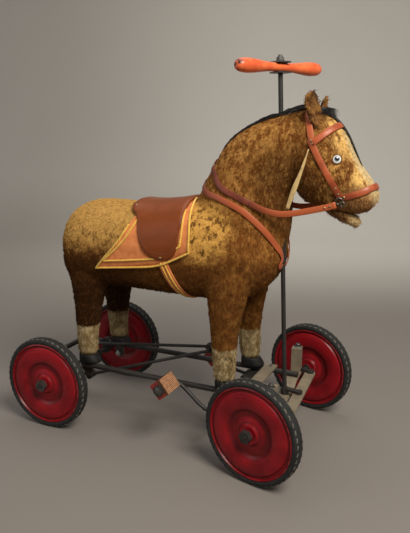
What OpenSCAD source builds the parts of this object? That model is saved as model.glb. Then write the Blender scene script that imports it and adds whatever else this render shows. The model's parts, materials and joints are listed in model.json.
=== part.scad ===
// Ride-on horse on wheels: a stuffed horse on a pedal-driven, steered rod frame.
// X points forward, Y to the horse's left and Z up. The wheels stand on Z = 0.

/* [Wheels] */
// Radius of a wheel over its tyre
wheel_r = 101; // [92:1:108]
// Radius of the pressed disc, where the tyre is seated
disc_r = 90; // [84:1:91]
// Width of a tyre
tyre_w = 24; // [20:1:28]
// Sheet thickness of a pressed wheel disc
disc_sheet = 1.5; // [1:0.1:2.5]
// Radius of the hub boss of a wheel
hub_r = 20; // [17:1:24]
// Width of a hub over both bosses
hub_w = 32; // [28:1:38]
// Distance from the centre line to the middle of a rear wheel
rear_wheel_y = 155; // [150:1:170]
// Distance from the king pin to the middle of a front wheel
stub_reach = 62; // [58:1:72]

/* [Frame] */
// Diameter of a frame rail
rail_d = 12; // [10:1:14]
// Distance from the centre line to a rail
rail_y = 73; // [70:1:80]
// Height of the rails above the wheel axles
rail_rise = 19; // [17:1:24]
// Rail length behind the rear axle
rail_back = 60; // [50:1:75]
// Distance from the rear axle to the middle of the rear legs
rear_leg_x = 45; // [42:1:52]
// Distance between the rear legs and the front legs
leg_spacing = 341; // [328:1:352]
// Distance from the front legs to the steering column's foot
column_ahead = 104; // [101:1:108]
// Width of the front cross strip
strip_w = 26; // [20:1:28]
// Thickness of the frame's strip steel
strip_t = 4; // [3:0.5:6]
// Distance from the front legs forward to the front cross strip
strip_ahead = 48; // [47:1:54]

/* [Steering] */
// Angle at which the axle beam stands out of square, positive to the left
beam_skew = 4; // [-5:0.5:5]
// Angle at which the front wheels stand, positive to the left
steer = -13; // [-20:1:20]
// Distance from the centre line to a king pin
king_y = 116; // [112:1:120]
// Diameter of the bent stub axle rod
stub_d = 10; // [8:0.5:11]
// Length of a steering arm from king pin to track rod pin
arm_len = 33; // [31:1:38]
// Width of the axle beam
beam_w = 25; // [22:1:28]
// Depth of the axle beam's dip at the middle
beam_dip = 9; // [4:1:12]
// Height of a steering head
head_h = 48; // [42:1:54]
// Rake of the steering column
column_rake = 2.5; // [0:0.5:4]
// Diameter of the steering column
column_d = 9; // [8:0.5:10]
// Length of the column above the axle beam
column_len = 660; // [645:1:680]
// Length of the handlebar
handle_len = 228; // [200:1:250]
// Angle by which the handlebar is turned on its column, positive to the left
handle_twist = -11; // [-15:1:15]
// Greatest diameter of a handle grip
grip_d = 26; // [24:1:30]
// Diameter of the handlebar's middle
handle_mid_d = 16; // [15:1:19]

/* [Drive] */
// Throw of each crank on the rear axle
crank_throw = 35; // [28:1:36]
// Angle of the right crank, measured up from forward
crank_angle = -45; // [-60:1:-35]
// Diameter of the rear axle
axle_d = 12; // [10:1:13]
// Diameter of a crank pin
pin_d = 10; // [8:1:11]
// Distance from the centre line to a drive rod
rod_y = 31; // [30:1:33]
// Diameter of a drive rod
rod_d = 7; // [6:0.5:8]
// Length of a drive rod between its eyes
rod_len = 334; // [330:1:338]
// Length of a rocker arm from its pivot to its pin
rocker_len = 104; // [98:1:110]
// Distance from the front legs back to the pedal pivot
pivot_behind = 14; // [8:1:18]
// Depth of the pedal pivot below the rails
pivot_drop = 32; // [28:1:36]
// Diameter of a pedal shaft
shaft_d = 10; // [8:1:11]
// Distance from the centre line to a pedal arm
pedal_arm_y = 108; // [104:1:110]
// Distance from the right pedal pivot back to its spindle
pedal_back = 88; // [80:1:96]
// Rise of the right pedal spindle above its pivot
pedal_rise = 52; // [46:1:58]
// Diameter of a pedal arm's rod
pedal_rod_d = 8; // [7:0.5:9]
// Angle to which a pedal's tread leans forward
pedal_lean = 52; // [0:1:80]
// Length of a pedal along its spindle
pedal_w = 50; // [42:1:54]
// Depth of a pedal
pedal_d = 34; // [28:1:38]
// Thickness of a pedal's wooden block
pedal_t = 20; // [18:1:24]
// Distance from the middle of a pedal's block up to its spindle
spindle_up = 4; // [0:0.5:4.5]

/* [Horse] */
// Distance from the front legs back to the middle of the saddle
saddle_behind = 168; // [162:1:174]
// Distance by which the rear feet stand in from the rails
rear_set_in = 9; // [0:1:12]
// Height of the horse's back above the rails
back_h = 362; // [355:1:370]
// Height of the belly above the rails
belly_h = 172; // [165:1:180]
// Greatest width of the trunk
body_w = 196; // [185:1:205]
// Height of a hoof
hoof_h = 20; // [16:1:24]
// Diameter of an eye
eye_d = 20; // [16:1:24]
// Length of an ear
ear_len = 68; // [56:1:76]

/* [Tack] */
// Thickness of the saddle cloth
cloth_t = 2.5; // [2:0.5:3]
// Thickness of the saddle leather
saddle_t = 6; // [5:0.5:8]
// Thickness of the harness straps
strap_t = 2.4; // [2:0.2:3]
// Width of the harness straps
strap_w = 13; // [10:1:15]
// Width of the girth
girth_w = 22; // [18:1:26]

/* [Fits] */
// Radial clearance of a running fit
run_fit = 0.05; // [0.02:0.01:0.08]
// Gap between faces that move past each other
side_gap = 0.4; // [0.3:0.1:0.8]
// Gap between a stuffed piece and what it is sewn or set against
seam_gap = 0.3; // [0.2:0.1:0.5]
// Radial clearance of the pivot where the drop arm meets the track rod
loose_fit = 1.2; // [0.8:0.1:2]

/* [Hidden] */
$fn = 48;
LEFT = 1;
RIGHT = -1;

// Heights and places that follow from the driving dimensions. A wheel always clears its disc by a thin tyre
bead = 3;
thin_tyre = 8;
rolling_r = max(wheel_r, disc_r + thin_tyre);
axle_z = rolling_r;
rail_z = axle_z + rail_rise;
rail_top = rail_z + rail_d / 2;
rail_low = rail_z - rail_d / 2;
front_leg_x = rear_leg_x + leg_spacing;
column_x = front_leg_x + column_ahead;
back_z = rail_top + back_h;
snug = 0.02;

// Front axle levels, from the beam up to the top of the steering heads
beam_mid_z = rail_low - beam_dip;
arm_t = 5;
arm_z = rail_low + side_gap;
head_z = arm_z + arm_t + side_gap;
head_top = head_z + head_h;
king_r = beam_w / 2;
head_r = 10.5;
bend_r = 10;
link_t = 4;
link_z = arm_z - side_gap - link_t;
link_pin_d = 8;
nut_r = 12.5;
nut_t = 10;
thread_out = 2;

// Drive linkage: crank pins, rocker pins and the turn of each lever
rod_eye_w = 8;
web_gap = rod_eye_w + 2 * side_gap;
web_t = 5;
// The pivot stands behind the front legs, and no further from the cranks than the rods reach
reach_spare = 24;
rod_reach = rod_len + rocker_len - crank_throw - reach_spare;
pivot_x = min(front_leg_x - pivot_behind, rod_reach);
pivot_z = rail_z - pivot_drop;
function crank_turn(side) = crank_angle + (side == LEFT ? 180 : 0);
function crank_pin(side) =
    [crank_throw * cos(crank_turn(side)), axle_z + crank_throw * sin(crank_turn(side))];
function rocker_pin(side) =
    let (pin = crank_pin(side), span = [pivot_x, pivot_z] - pin, d = norm(span), along = span / d)
    let (s = (rod_len * rod_len - rocker_len * rocker_len + d * d) / (2 * d))
    pin + s * along + sqrt(rod_len * rod_len - s * s) * [-along.y, along.x];
function rocker_turn(side) =
    let (arm = rocker_pin(side) - [pivot_x, pivot_z]) atan2(arm.y, arm.x);
function rod_turn(side) = let (rod = rocker_pin(side) - crank_pin(side)) atan2(rod.y, rod.x);
rocker_t = 5;
rocker_y = rod_y - rod_eye_w / 2 - side_gap - rocker_t;

// Lofting: rings of points joined by triangles, closed by a fan at each end
function spline(a, b, c, d, t) =
    0.5 * (2 * b + (c - a) * t + (2 * a - 5 * b + 4 * c - d) * t * t + (3 * b - a - 3 * c + d) * t * t * t);
function at_end(list, i) = list[max(0, min(len(list) - 1, i))];
function smooth(list, steps) = [
    for (i = [0:len(list) - 2]) for (s = [0:steps - 1])
        spline(at_end(list, i - 1), list[i], list[i + 1], at_end(list, i + 2), s / steps),
    list[len(list) - 1]
];
function bulge(v, power) = sign(v) * pow(abs(v), 2 / power);
function ring(centre, across, along, sides, power) = [
    for (i = [0:sides - 1]) let (a = 360 * (i + 0.5) / sides)
        centre + across * bulge(cos(a), power) + along * bulge(sin(a), power)
];
function middle(points) = [for (k = [0:2]) let (v = [for (p = points) p[k]]) (min(v) + max(v)) / 2];

module loft(rings) {
    n = len(rings[0]);
    last = len(rings) - 1;
    points = [for (r = rings) each r, middle(rings[0]), middle(rings[last])];
    walls = [
        for (k = [0:last - 1]) for (i = [0:n - 1]) let (j = (i + 1) % n, low = k * n, high = low + n)
            each [[low + i, high + i, low + j], [low + j, high + i, high + j]]
    ];
    ends = [
        for (i = [0:n - 1]) let (j = (i + 1) % n, start = len(points) - 2)
            each [[start, i, j], [start + 1, last * n + j, last * n + i]]
    ];
    polyhedron(points, concat(walls, ends), convexity = 4);
}

// The horse's sections. Trunk: station from rear to front legs, top and bottom as shares of its depth,
// half width as a share of the greatest
trunk_sections = [
    [-0.185, 0.6, 0.2, 0.33], [-0.155, 0.79, 0.05, 0.66], [-0.097, 0.92, -0.02, 0.88],
    [-0.003, 0.99, -0.04, 0.97], [0.132, 1, 0, 1], [0.308, 0.99, 0.01, 0.97], [0.513, 1, 0, 0.95],
    [0.718, 1.05, 0, 0.95], [0.865, 1.09, -0.01, 0.95], [1.012, 1.05, 0, 0.92],
    [1.129, 0.95, 0.1, 0.82], [1.217, 0.83, 0.26, 0.6], [1.276, 0.68, 0.43, 0.3]
];
// Neck: crest point, throat point, half width, all from the front legs and the back
neck_sections = [
    [-96, -18, 69, -128, 80], [-81, 24, 96, -68, 76], [-64, 60, 103, -30, 69], [-43, 98, 104, -3, 62],
    [-18, 130, 104, 17, 56], [19, 155, 109, 34, 52], [60, 171, 118, 47, 48], [94, 181, 132, 62, 44],
    [122, 184, 146, 82, 38]
];
// Head: face point, jaw point, half width, from the same two places
head_sections = [
    [111, 187, 102, 112, 30], [139, 188, 111, 60, 44], [166, 181, 124, 29, 50], [188, 164, 145, 16, 51],
    [206, 142, 166, 10, 48], [220, 115, 184, 6, 43], [233, 90, 199, 3, 38], [248, 71, 213, 2, 34],
    [261, 55, 226, 2, 32], [268, 40, 239, 3, 29], [267, 24, 250, 7, 18]
];
function trunk_ring(s, grow) =
    let (depth = back_h - belly_h, top = belly_h + s[1] * depth, low = belly_h + s[2] * depth)
    ring([rear_leg_x + s[0] * leg_spacing, 0, rail_top + (top + low) / 2],
        [0, s[3] * body_w / 2 + grow, 0], [0, 0, (top - low) / 2 + grow], 24, 2.3);
function profile_ring(s, grow, sides) =
    let (upper = [s[0], 0, s[1]], lower = [s[2], 0, s[3]], half = (upper - lower) / 2)
    ring([front_leg_x, 0, back_z] + (upper + lower) / 2,
        [0, s[4] + grow, 0], half * (1 + grow / norm(half)), sides, 2.2);
function trunk_rings(grow) = [for (s = smooth(trunk_sections, 2)) trunk_ring(s, grow)];
function neck_rings(grow) = [for (s = smooth(neck_sections, 2)) profile_ring(s, grow, 24)];
function head_rings(grow) = [for (s = smooth(head_sections, 2)) profile_ring(s, grow, 24)];

// The part's origin lies midway between the rearmost tyre and the nose
nose_x = max([for (r = head_rings(0)) for (p = r) p.x]);
origin_x = (nose_x - rolling_r) / 2;

module place() {
    translate([-origin_x, 0, 0]) children();
}

// A plate in the X-Z plane, from y outwards on one side
module upright_plate(y, t, side) {
    translate([0, side == LEFT ? y + t : -y, 0]) rotate([90, 0, 0]) linear_extrude(t) children();
}

// A flat link outline: two round ends joined by a bar
module link_shape(a, b, r_a, r_b, w) {
    span = b - a;
    translate(a) circle(r_a);
    translate(b) circle(r_b);
    translate(a) rotate(atan2(span.y, span.x)) translate([0, -w / 2]) square([norm(span), w]);
}

module cross_rod(d, y0, y1) {
    translate([0, min(y0, y1), 0]) rotate([-90, 0, 0]) cylinder(d = d, h = abs(y1 - y0));
}

// Frame
module rail(side) {
    translate([-rail_back, side * rail_y, rail_z]) rotate([0, 90, 0])
        cylinder(d = rail_d, h = rail_back + column_x + beam_w / 4);
}
module rail_left() { place() color("dimgray") rail(LEFT); }
module rail_right() { place() color("dimgray") rail(RIGHT); }

module rear_cross_bar() {
    bar_d = rail_d;
    saddle_depth = 2;
    overhang = 12;
    place() color("black") difference() {
        translate([bar_d - rail_back, 0, rail_top + bar_d / 2 - saddle_depth])
            cross_rod(bar_d, -rail_y - overhang, rail_y + overhang);
        for (side = [LEFT, RIGHT])
            translate([-2 * rail_back, side * rail_y, rail_z]) rotate([0, 90, 0])
                cylinder(d = rail_d + 2 * snug, h = 4 * rail_back);
    }
}

module front_cross_strip() {
    overhang = 9;
    place() color("darkkhaki")
        translate([front_leg_x + strip_ahead - strip_w / 2, -rail_y - overhang, rail_top + snug])
            cube([strip_w, 2 * (rail_y + overhang), strip_t]);
}

// Things square to the axle beam
module on_beam() {
    translate([column_x, 0, 0]) rotate([0, 0, beam_skew]) children();
}
module axle_beam() {
    flat = 34;
    shoulder = rail_y - rail_d;
    end = king_y - king_r;
    place() color("darkkhaki") difference() {
        on_beam() translate([beam_w / 2, 0, 0]) rotate([90, 0, -90]) linear_extrude(beam_w) polygon([
            [-end, rail_low], [-shoulder, rail_low], [-flat, beam_mid_z], [flat, beam_mid_z],
            [shoulder, rail_low], [end, rail_low], [end, rail_low - strip_t],
            [shoulder, rail_low - strip_t], [flat, beam_mid_z - strip_t], [-flat, beam_mid_z - strip_t],
            [-shoulder, rail_low - strip_t], [-end, rail_low - strip_t]
        ]);
        on_column() translate([0, 0, -4 * strip_t]) cylinder(d = column_d + 2 * run_fit, h = 8 * strip_t);
    }
}

module steering_heads() {
    place() color("darkkhaki") for (side = [LEFT, RIGHT])
        on_beam() translate([0, side * king_y, 0]) difference() {
            union() {
                translate([0, 0, head_z]) cylinder(r = head_r, h = head_h);
                translate([-head_r, side == LEFT ? -king_r : 0, head_z]) cube([2 * head_r, king_r, head_h]);
                translate([-head_r, side == LEFT ? -king_r - strip_t : king_r, rail_low + snug])
                    cube([2 * head_r, strip_t, head_top - rail_low - snug]);
            }
            translate([0, 0, head_z - strip_t]) cylinder(d = stub_d + 2 * run_fit, h = head_h + 2 * strip_t);
        }
}

module axle_bearings() {
    wall = 4.5;
    bearing_w = 14;
    place() color("dimgray") for (side = [LEFT, RIGHT]) difference() {
        upright_plate(rail_y - bearing_w / 2, bearing_w, side)
            link_shape([0, axle_z], [0, rail_z], axle_d / 2 + wall, rail_d / 2 + wall, axle_d);
        translate([0, 0, axle_z]) cross_rod(axle_d + 2 * run_fit, 0, side * 2 * rail_y);
        translate([-rail_back, side * rail_y, rail_z]) rotate([0, 90, 0])
            cylinder(d = rail_d + 2 * snug, h = 2 * rail_back);
    }
}

module foot_clamps() {
    clamp_t = 5;
    clamp_r = 11;
    bolt_d = 9;
    bolt_drop = rail_rise;
    inner = rail_y - rail_d / 2 - clamp_t - snug;
    place() color("dimgray") for (side = [LEFT, RIGHT]) translate([rear_leg_x, 0, 0]) {
        upright_plate(inner, clamp_t, side) {
            translate([0, rail_z - bolt_drop]) circle(clamp_r);
            translate([-clamp_r, rail_z - bolt_drop]) square([2 * clamp_r, rail_top - rail_z + bolt_drop]);
        }
        translate([0, 0, rail_z - bolt_drop]) cross_rod(bolt_d, side * (inner - clamp_t), side * inner);
    }
}

module pedal_bracket() {
    lug_r = shaft_d / 2 + 4;
    lug_w = 10;
    waist = lug_r * 1.6;
    strip_x = pivot_x + strip_w / 4 + lug_r;
    lug_top = rail_low - strip_t / 2 - lug_r;
    place() color("dimgray") difference() {
        union() {
            translate([strip_x, -rail_y - lug_w, rail_low - strip_t])
                cube([strip_w, 2 * (rail_y + lug_w), strip_t]);
            for (y = [-rail_y, 0, rail_y]) translate([0, y, 0]) upright_plate(-lug_w / 2, lug_w, LEFT)
                link_shape([pivot_x, pivot_z], [strip_x + lug_r, lug_top], lug_r, lug_r, waist);
        }
        translate([pivot_x, 0, pivot_z]) cross_rod(shaft_d + 2 * run_fit, -2 * rail_y, 2 * rail_y);
    }
}

// Guide tube through the neck, and the holes that take it
guide_wall = 2;
guide_low = back_z - 105;
guide_high = back_z + 171;
module on_column() {
    translate([column_x, 0, beam_mid_z]) rotate([0, -column_rake, 0]) children();
}
module along_column(d, low, high) {
    on_column() translate([0, 0, (low - beam_mid_z) / cos(column_rake)])
        cylinder(d = d, h = (high - low) / cos(column_rake));
}
module guide_tube() {
    place() color("gray") difference() {
        along_column(column_d + 2 * guide_wall, guide_low, guide_high);
        along_column(column_d + 2 * run_fit, guide_low - guide_wall, guide_high + guide_wall);
    }
}
module guide_hole() {
    along_column(column_d + 2 * guide_wall + 2 * seam_gap, guide_low - body_w, guide_high + body_w);
}

// Stuffed horse
function some(rings, first, last) = [for (i = [max(0, first):min(len(rings) - 1, last)]) rings[i]];
module trunk_form(grow = 0, first = 0, last = 99) { loft(some(trunk_rings(grow), first, last)); }
module neck_form(grow = 0, first = 0, last = 99) { loft(some(neck_rings(grow), first, last)); }
module head_form(grow = 0, first = 0, last = 99) { loft(some(head_rings(grow), first, last)); }

module torso() {
    place() color("peru") difference() {
        trunk_form();
        guide_hole();
    }
}
module neck() {
    place() color("peru") difference() {
        neck_form();
        trunk_form(seam_gap, 13);
        guide_hole();
    }
}
module head() {
    place() color("peru") difference() {
        head_form();
        neck_form(seam_gap, 8);
    }
}

// Lower jaw: distance along the jaw, half width, half depth
jaw_sections = [[0, 16, 13], [16, 20, 15], [32, 21, 14.5], [48, 20, 13], [59, 16, 10.5], [66, 9, 6]];
module jaw_form(grow = 0) {
    jaw_root = [front_leg_x + 178, 0, back_z + 14];
    jaw_drop = 26;
    translate(jaw_root) rotate([0, jaw_drop, 0]) loft([
        for (s = jaw_sections) ring([s[0], 0, 0], [0, s[1] + grow, 0], [0, 0, s[2] + grow], 14, 2)
    ]);
}
module lower_jaw() {
    place() color("peru") difference() {
        jaw_form();
        head_form(seam_gap, 6, 20);
    }
}

// Ears: share of the length, half width, half thickness
ear_sections = [
    [0, 10, 7], [0.2, 13, 7], [0.42, 15.5, 6.5], [0.64, 15.5, 6], [0.82, 14, 5.5], [0.94, 10, 4.5], [1, 5, 2.5]
];
module ear_forms(grow = 0) {
    ear_root = [front_leg_x + 160, 33, back_z + 156];
    lean_back = 14;
    splay = 8;
    for (side = [LEFT, RIGHT])
        translate([ear_root.x, side * ear_root.y, ear_root.z]) rotate([-side * splay, -lean_back, 0])
            loft([for (s = ear_sections)
                ring([0, 0, s[0] * ear_len], [0, s[1] + grow, 0], [-s[2] - grow, 0, 0], 14, 2)]);
}
module ears() {
    place() color("saddlebrown") difference() {
        ear_forms();
        head_form(seam_gap, 0, 7);
        neck_form(seam_gap, 12);
    }
}

module eyes() {
    eye_at = [front_leg_x + 201, 40.5, back_z + 101];
    place() color("white") difference() {
        for (side = [LEFT, RIGHT]) translate([eye_at.x, side * eye_at.y, eye_at.z]) sphere(d = eye_d);
        head_form(seam_gap, 4, 12);
    }
}

// Mane along the crest: place from the front legs and the back, half width, half height
mane_sections = [
    [136, 188, 9, 7], [118, 188, 13, 9], [92, 182, 13, 9], [60, 172, 11, 8], [19, 156, 9, 7],
    [-16, 132, 7, 6], [-38, 106, 5, 4]
];
module mane_form(grow = 0) {
    loft([for (s = mane_sections)
        ring([front_leg_x + s[0], 0, back_z + s[1]], [0, s[2] + grow, 0], [0, 0, s[3] + grow], 12, 2)]);
}
module mane() {
    place() color("black") difference() {
        mane_form();
        neck_form(seam_gap, 4);
        head_form(seam_gap, 0, 4);
        guide_hole();
    }
}

// Forelock between the ears: distance forward, half width, half height
forelock_sections = [[-16, 8, 5], [-8, 14, 10], [4, 15, 12], [14, 11, 10], [22, 6, 6]];
module forelock() {
    root = [front_leg_x + 164, 0, back_z + 181];
    place() color("black") difference() {
        translate(root) rotate([0, 25, 0]) loft([
            for (s = forelock_sections) ring([s[0], 0, 0], [0, s[1], 0], [0, 0, s[2]], 12, 2)
        ]);
        head_form(seam_gap, 0, 6);
        neck_form(seam_gap, 13);
    }
}

// Legs: share of the height from hoof to belly, set forward, half length, half width, set in
front_leg_sections = [
    [0, 0, 20, 19, 0], [0.2, -2, 23, 22, 1], [0.45, -3, 25, 24, 3], [0.75, -3, 30, 27, 5],
    [1.05, -1, 38, 31, 8], [1.35, 2, 44, 33, 12], [1.7, 4, 38, 28, 26]
];
rear_leg_sections = [
    [0, 1, 21, 19, 0], [0.2, 0, 22, 22, 1], [0.45, 1, 25, 25, 3], [0.75, 4, 31, 28, 5],
    [1.05, 6, 41, 33, 8], [1.35, 4, 50, 36, 13], [1.7, 0, 46, 30, 28]
];
function foot_y(x) = rail_y - (x == rear_leg_x ? rear_set_in : 0);
function leg_rings(sections, x, side) =
    let (low = rail_top + hoof_h + seam_gap, high = rail_top + belly_h)
    [for (s = smooth(sections, 2))
        ring([x + s[1], side * (foot_y(x) - s[4]), low + s[0] * (high - low)],
            [s[2], 0, 0], [0, s[3], 0], 16, 2.1)];
module leg(sections, x, side) {
    first = x == rear_leg_x ? 1 : 14;
    spanned = 8;
    difference() {
        loft(leg_rings(sections, x, side));
        trunk_form(seam_gap, first, first + spanned);
    }
}
module leg_front_left() { place() color("peru") leg(front_leg_sections, front_leg_x, LEFT); }
module leg_front_right() { place() color("peru") leg(front_leg_sections, front_leg_x, RIGHT); }
module leg_rear_left() { place() color("peru") leg(rear_leg_sections, rear_leg_x, LEFT); }
module leg_rear_right() { place() color("peru") leg(rear_leg_sections, rear_leg_x, RIGHT); }

// Hooves: share of the height, set forward, half length, half width
hoof_sections = [[0, 6, 27, 20], [0.3, 5, 26, 20], [1, 0, 21, 19]];
module hooves() {
    place() color("black") for (x = [rear_leg_x, front_leg_x]) for (side = [LEFT, RIGHT])
        translate([x, side * foot_y(x), rail_top + snug]) loft([for (s = hoof_sections)
            ring([s[1], 0, s[0] * hoof_h], [s[2], 0, 0], [0, s[3], 0], 16, 2.2)]);
}

// Tack: each piece is a shell over the horse, cut to an outline seen from the side
module outline_cut() {
    translate([0, body_w, back_z]) rotate([90, 0, 0]) linear_extrude(2 * body_w) children();
}
// A strap's outline of one width along a line of points
function turned(v) = [-v.y, v.x] / norm(v);
function strap_side(line, w) = [
    for (i = [0:len(line) - 1]) line[i] + w * turned(at_end(line, i + 1) - at_end(line, i - 1))
];
module strap_shape(line, w) {
    left = strap_side(line, w / 2);
    right = strap_side(line, -w / 2);
    polygon(concat(left, [for (i = [len(right) - 1:-1:0]) right[i]]));
}
module trunk_shell(low, high, first, last) {
    difference() {
        trunk_form(high, first, last);
        trunk_form(low, first - 1, last + 1);
    }
}
saddle_x = front_leg_x - saddle_behind;
cloth_low = seam_gap;
saddle_low = cloth_low + cloth_t + seam_gap;

module saddle_cloth() {
    place() color("salmon") difference() {
        cloth_cover();
        neck_form(seam_gap, 0, 3);
    }
}
module cloth_cover() {
    intersection() {
        trunk_shell(cloth_low, cloth_low + cloth_t, 8, 16);
        outline_cut() translate([saddle_x, 0]) polygon([
            [-50, 40], [-42, -8], [-36, -22], [-61, -70], [-119, -132], [32, -113],
            [99, -83], [102, -48], [98, -8], [88, 40]
        ]);
    }
}
module saddle() {
    place() color("sienna") intersection() {
        trunk_shell(saddle_low, saddle_low + saddle_t, 9, 15);
        outline_cut() translate([saddle_x, 0]) polygon([
            [-57, 40], [-57, -8], [-46, -17], [-30, -24], [-24, -36], [-10, -76], [4, -97], [20, -107],
            [38, -111], [55, -107], [69, -92], [77, -62], [78, -18], [74, 40]
        ]);
    }
}
module girth() {
    place() color("salmon") intersection() {
        trunk_shell(seam_gap, seam_gap + strap_t, 12, 15);
        outline_cut() translate([saddle_x, 0])
            strap_shape([[42, -118], [58, -160], [74, -214]], girth_w);
    }
}

module breast_strap() {
    place() color("indianred") intersection() {
        difference() {
            union() {
                trunk_form(seam_gap + strap_t, 15);
                neck_form(seam_gap + strap_t, 0, 8);
            }
            trunk_form(seam_gap, 14);
            neck_form(seam_gap, 0, 9);
            guide_hole();
        }
        outline_cut() translate([front_leg_x, 0])
            strap_shape([[-70, 40], [-50, 31], [27, 7], [67, -28], [86, -63], [90, -112]], strap_w);
    }
}

// A flat strap hanging free along a line, its width in the X-Z plane
module free_strap(line, w, t) {
    out = [0, t, 0];
    loft([
        for (i = [0:len(line) - 1])
            let (span = at_end(line, i + 1) - at_end(line, i - 1), up = turned([span.x, span.z]) * w / 2)
            let (flat = [up.x, 0, up.y])
            [line[i] + flat, line[i] - flat, line[i] - flat + out, line[i] + flat + out]
    ]);
}
module both_sides() {
    children();
    mirror([0, 1, 0]) children();
}
module bridle() {
    joint = [155, 127];
    bit = [208, 32];
    place() color("indianred") {
        intersection() {
            difference() {
                head_form(seam_gap + strap_t, 1);
                head_form(seam_gap);
                neck_form(seam_gap, 8);
                jaw_form(seam_gap);
                ear_forms(seam_gap);
                mane_form(seam_gap);
            }
            outline_cut() translate([front_leg_x, 0]) {
                strap_shape([[138, 215], [146, 160], joint], strap_w);
                strap_shape([joint, [176, 146], [214, 182]], strap_w);
                strap_shape([joint - [4, -6], [182, 78], bit], strap_w);
                strap_shape([[196, -6], bit, [240, 41], [280, 58]], strap_w);
            }
        }
        translate([front_leg_x, 0, back_z]) both_sides()
            free_strap([[150, 51.5, 121], [117, 56, 12]], strap_w * 0.7, strap_t);
    }
}
module reins() {
    rein_line = [[42, 66, 18], [82, 63, 2], [118, 59, 1], [176, 53, 13], [203, 50, 21]];
    place() color("indianred") {
        intersection() {
            difference() {
                neck_form(seam_gap + strap_t, 2, 9);
                neck_form(seam_gap, 1, 10);
            }
            outline_cut() translate([front_leg_x, 0])
                strap_shape([[-60, 92], [-36, 67], [-14, 43], [37, 20], [48, 16]], strap_w);
        }
        translate([front_leg_x, 0, back_z]) both_sides() free_strap(rein_line, strap_w, strap_t);
    }
}
module bit_rings() {
    ring_r = 8;
    wire_d = 3;
    place() color("silver") for (side = [LEFT, RIGHT])
        translate([front_leg_x + 206, side * 43, back_z + 27]) rotate([90, 0, 0])
            rotate_extrude() translate([ring_r, 0]) circle(d = wire_d);
}

// Steering
handle_s = column_len - 12;
plate_t = 2.5;
module column() {
    foot = 10;
    place() color("black") on_column() translate([0, 0, -foot])
        cylinder(d = column_d, h = foot + column_len);
}
module turned_by_steering() {
    on_column() rotate([0, 0, steer]) children();
}
module on_handle() {
    turned_by_steering() rotate([0, 0, handle_twist]) children();
}
module drop_arm() {
    arm_low = 8.6;
    boss_r = 8;
    bar_w = 12;
    pin_len = side_gap + link_t + 2;
    place() color("black") turned_by_steering() difference() {
        union() {
            translate([0, 0, side_gap]) cylinder(r = boss_r, h = arm_low - side_gap + arm_t);
            translate([0, 0, arm_low]) linear_extrude(arm_t)
                link_shape([0, 0], [arm_len, 0], boss_r, boss_r, bar_w);
            translate([arm_len, 0, arm_low - pin_len]) cylinder(d = link_pin_d, h = pin_len);
        }
        cylinder(d = column_d + 2 * snug, h = 4 * arm_low);
    }
}

// Half outline of a turned grip: share of the handle's half length, share of the grip's radius
handle_outline = [
    [0.22, 0.62], [0.34, 0.68], [0.48, 0.81], [0.62, 0.94], [0.74, 1], [0.84, 0.97], [0.92, 0.86],
    [0.97, 0.66], [1, 0.36]
];
module handlebar() {
    flat = 22;
    mid_r = handle_mid_d / 2;
    grip = [for (p = handle_outline) [p[1] * grip_d, p[0] * handle_len] / 2];
    half = concat([[mid_r, 0], [mid_r, flat]], grip);
    back = [for (i = [len(half) - 1:-1:1]) [half[i].x, -half[i].y]];
    end = handle_len / 2;
    place() color("orangered") on_handle() translate([0, 0, handle_s]) difference() {
        rotate([-90, 0, 0]) rotate_extrude() polygon(concat([[0, -end]], back, half, [[0, end]]));
        translate([0, 0, -grip_d]) cylinder(d = column_d + 2 * snug, h = 2 * grip_d);
    }
}
module clamp_plates() {
    plate_l = 34;
    plate_w = 24;
    place() color("dimgray") on_handle() for (up = [1, -1])
        translate([0, 0, handle_s + up * (handle_mid_d + plate_t) / 2]) difference() {
            cube([plate_w, plate_l, plate_t], center = true);
            cylinder(d = column_d + 2 * snug, h = 2 * plate_t, center = true);
        }
}
module handle_nut() {
    nut_h = 7;
    across = 15;
    cap_h = 5;
    low = handle_s + handle_mid_d / 2 + plate_t;
    place() color("gray") on_handle() translate([0, 0, low]) difference() {
        union() {
            cylinder(d = across, h = nut_h, $fn = 6);
            translate([0, 0, nut_h]) cylinder(d1 = across * 0.8, d2 = across * 0.4, h = cap_h);
        }
        translate([0, 0, -nut_h]) cylinder(d = column_d + 2 * snug, h = column_len - low + nut_h);
    }
}

// Things that turn about a king pin; drawn for the left side and mirrored for the right
module on_king_pin(side) {
    on_beam() translate([0, side * king_y, 0]) rotate([0, 0, steer - beam_skew])
        mirror([0, side == LEFT ? 0 : 1, 0]) children();
}
module stub_axle(side) {
    cap_depth = 4;
    collar_t = 4;
    collar_r = 9;
    eye_r = 8.5;
    bar_w = 10;
    pin_head_t = 2;
    inner = stub_reach - hub_w / 2 - side_gap;
    outer = stub_reach + hub_w / 2 + side_gap;
    pin_low = link_z - side_gap - pin_head_t;
    on_king_pin(side) {
        translate([0, 0, axle_z + bend_r]) cylinder(d = stub_d, h = head_top - cap_depth - axle_z - bend_r);
        translate([0, bend_r, axle_z + bend_r]) rotate([90, 0, 90]) rotate([0, 0, 180])
            rotate_extrude(angle = 90) translate([bend_r, 0]) circle(d = stub_d);
        translate([0, 0, axle_z]) cross_rod(stub_d, bend_r, outer + nut_t + thread_out);
        translate([0, 0, axle_z]) cross_rod(2 * collar_r, inner - collar_t, inner);
        translate([0, outer, axle_z]) rotate([-90, 0, 0]) cylinder(r = nut_r, h = nut_t, $fn = 6);
        translate([0, 0, arm_z]) linear_extrude(arm_t)
            link_shape([0, 0], [arm_len, 0], eye_r, eye_r, bar_w);
        translate([arm_len, 0, pin_low]) cylinder(d = link_pin_d, h = arm_z - pin_low);
        translate([arm_len, 0, pin_low]) cylinder(d = 1.5 * link_pin_d, h = pin_head_t);
    }
}
module stub_axle_left() { place() color("dimgray") stub_axle(LEFT); }
module stub_axle_right() { place() color("dimgray") stub_axle(RIGHT); }

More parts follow.
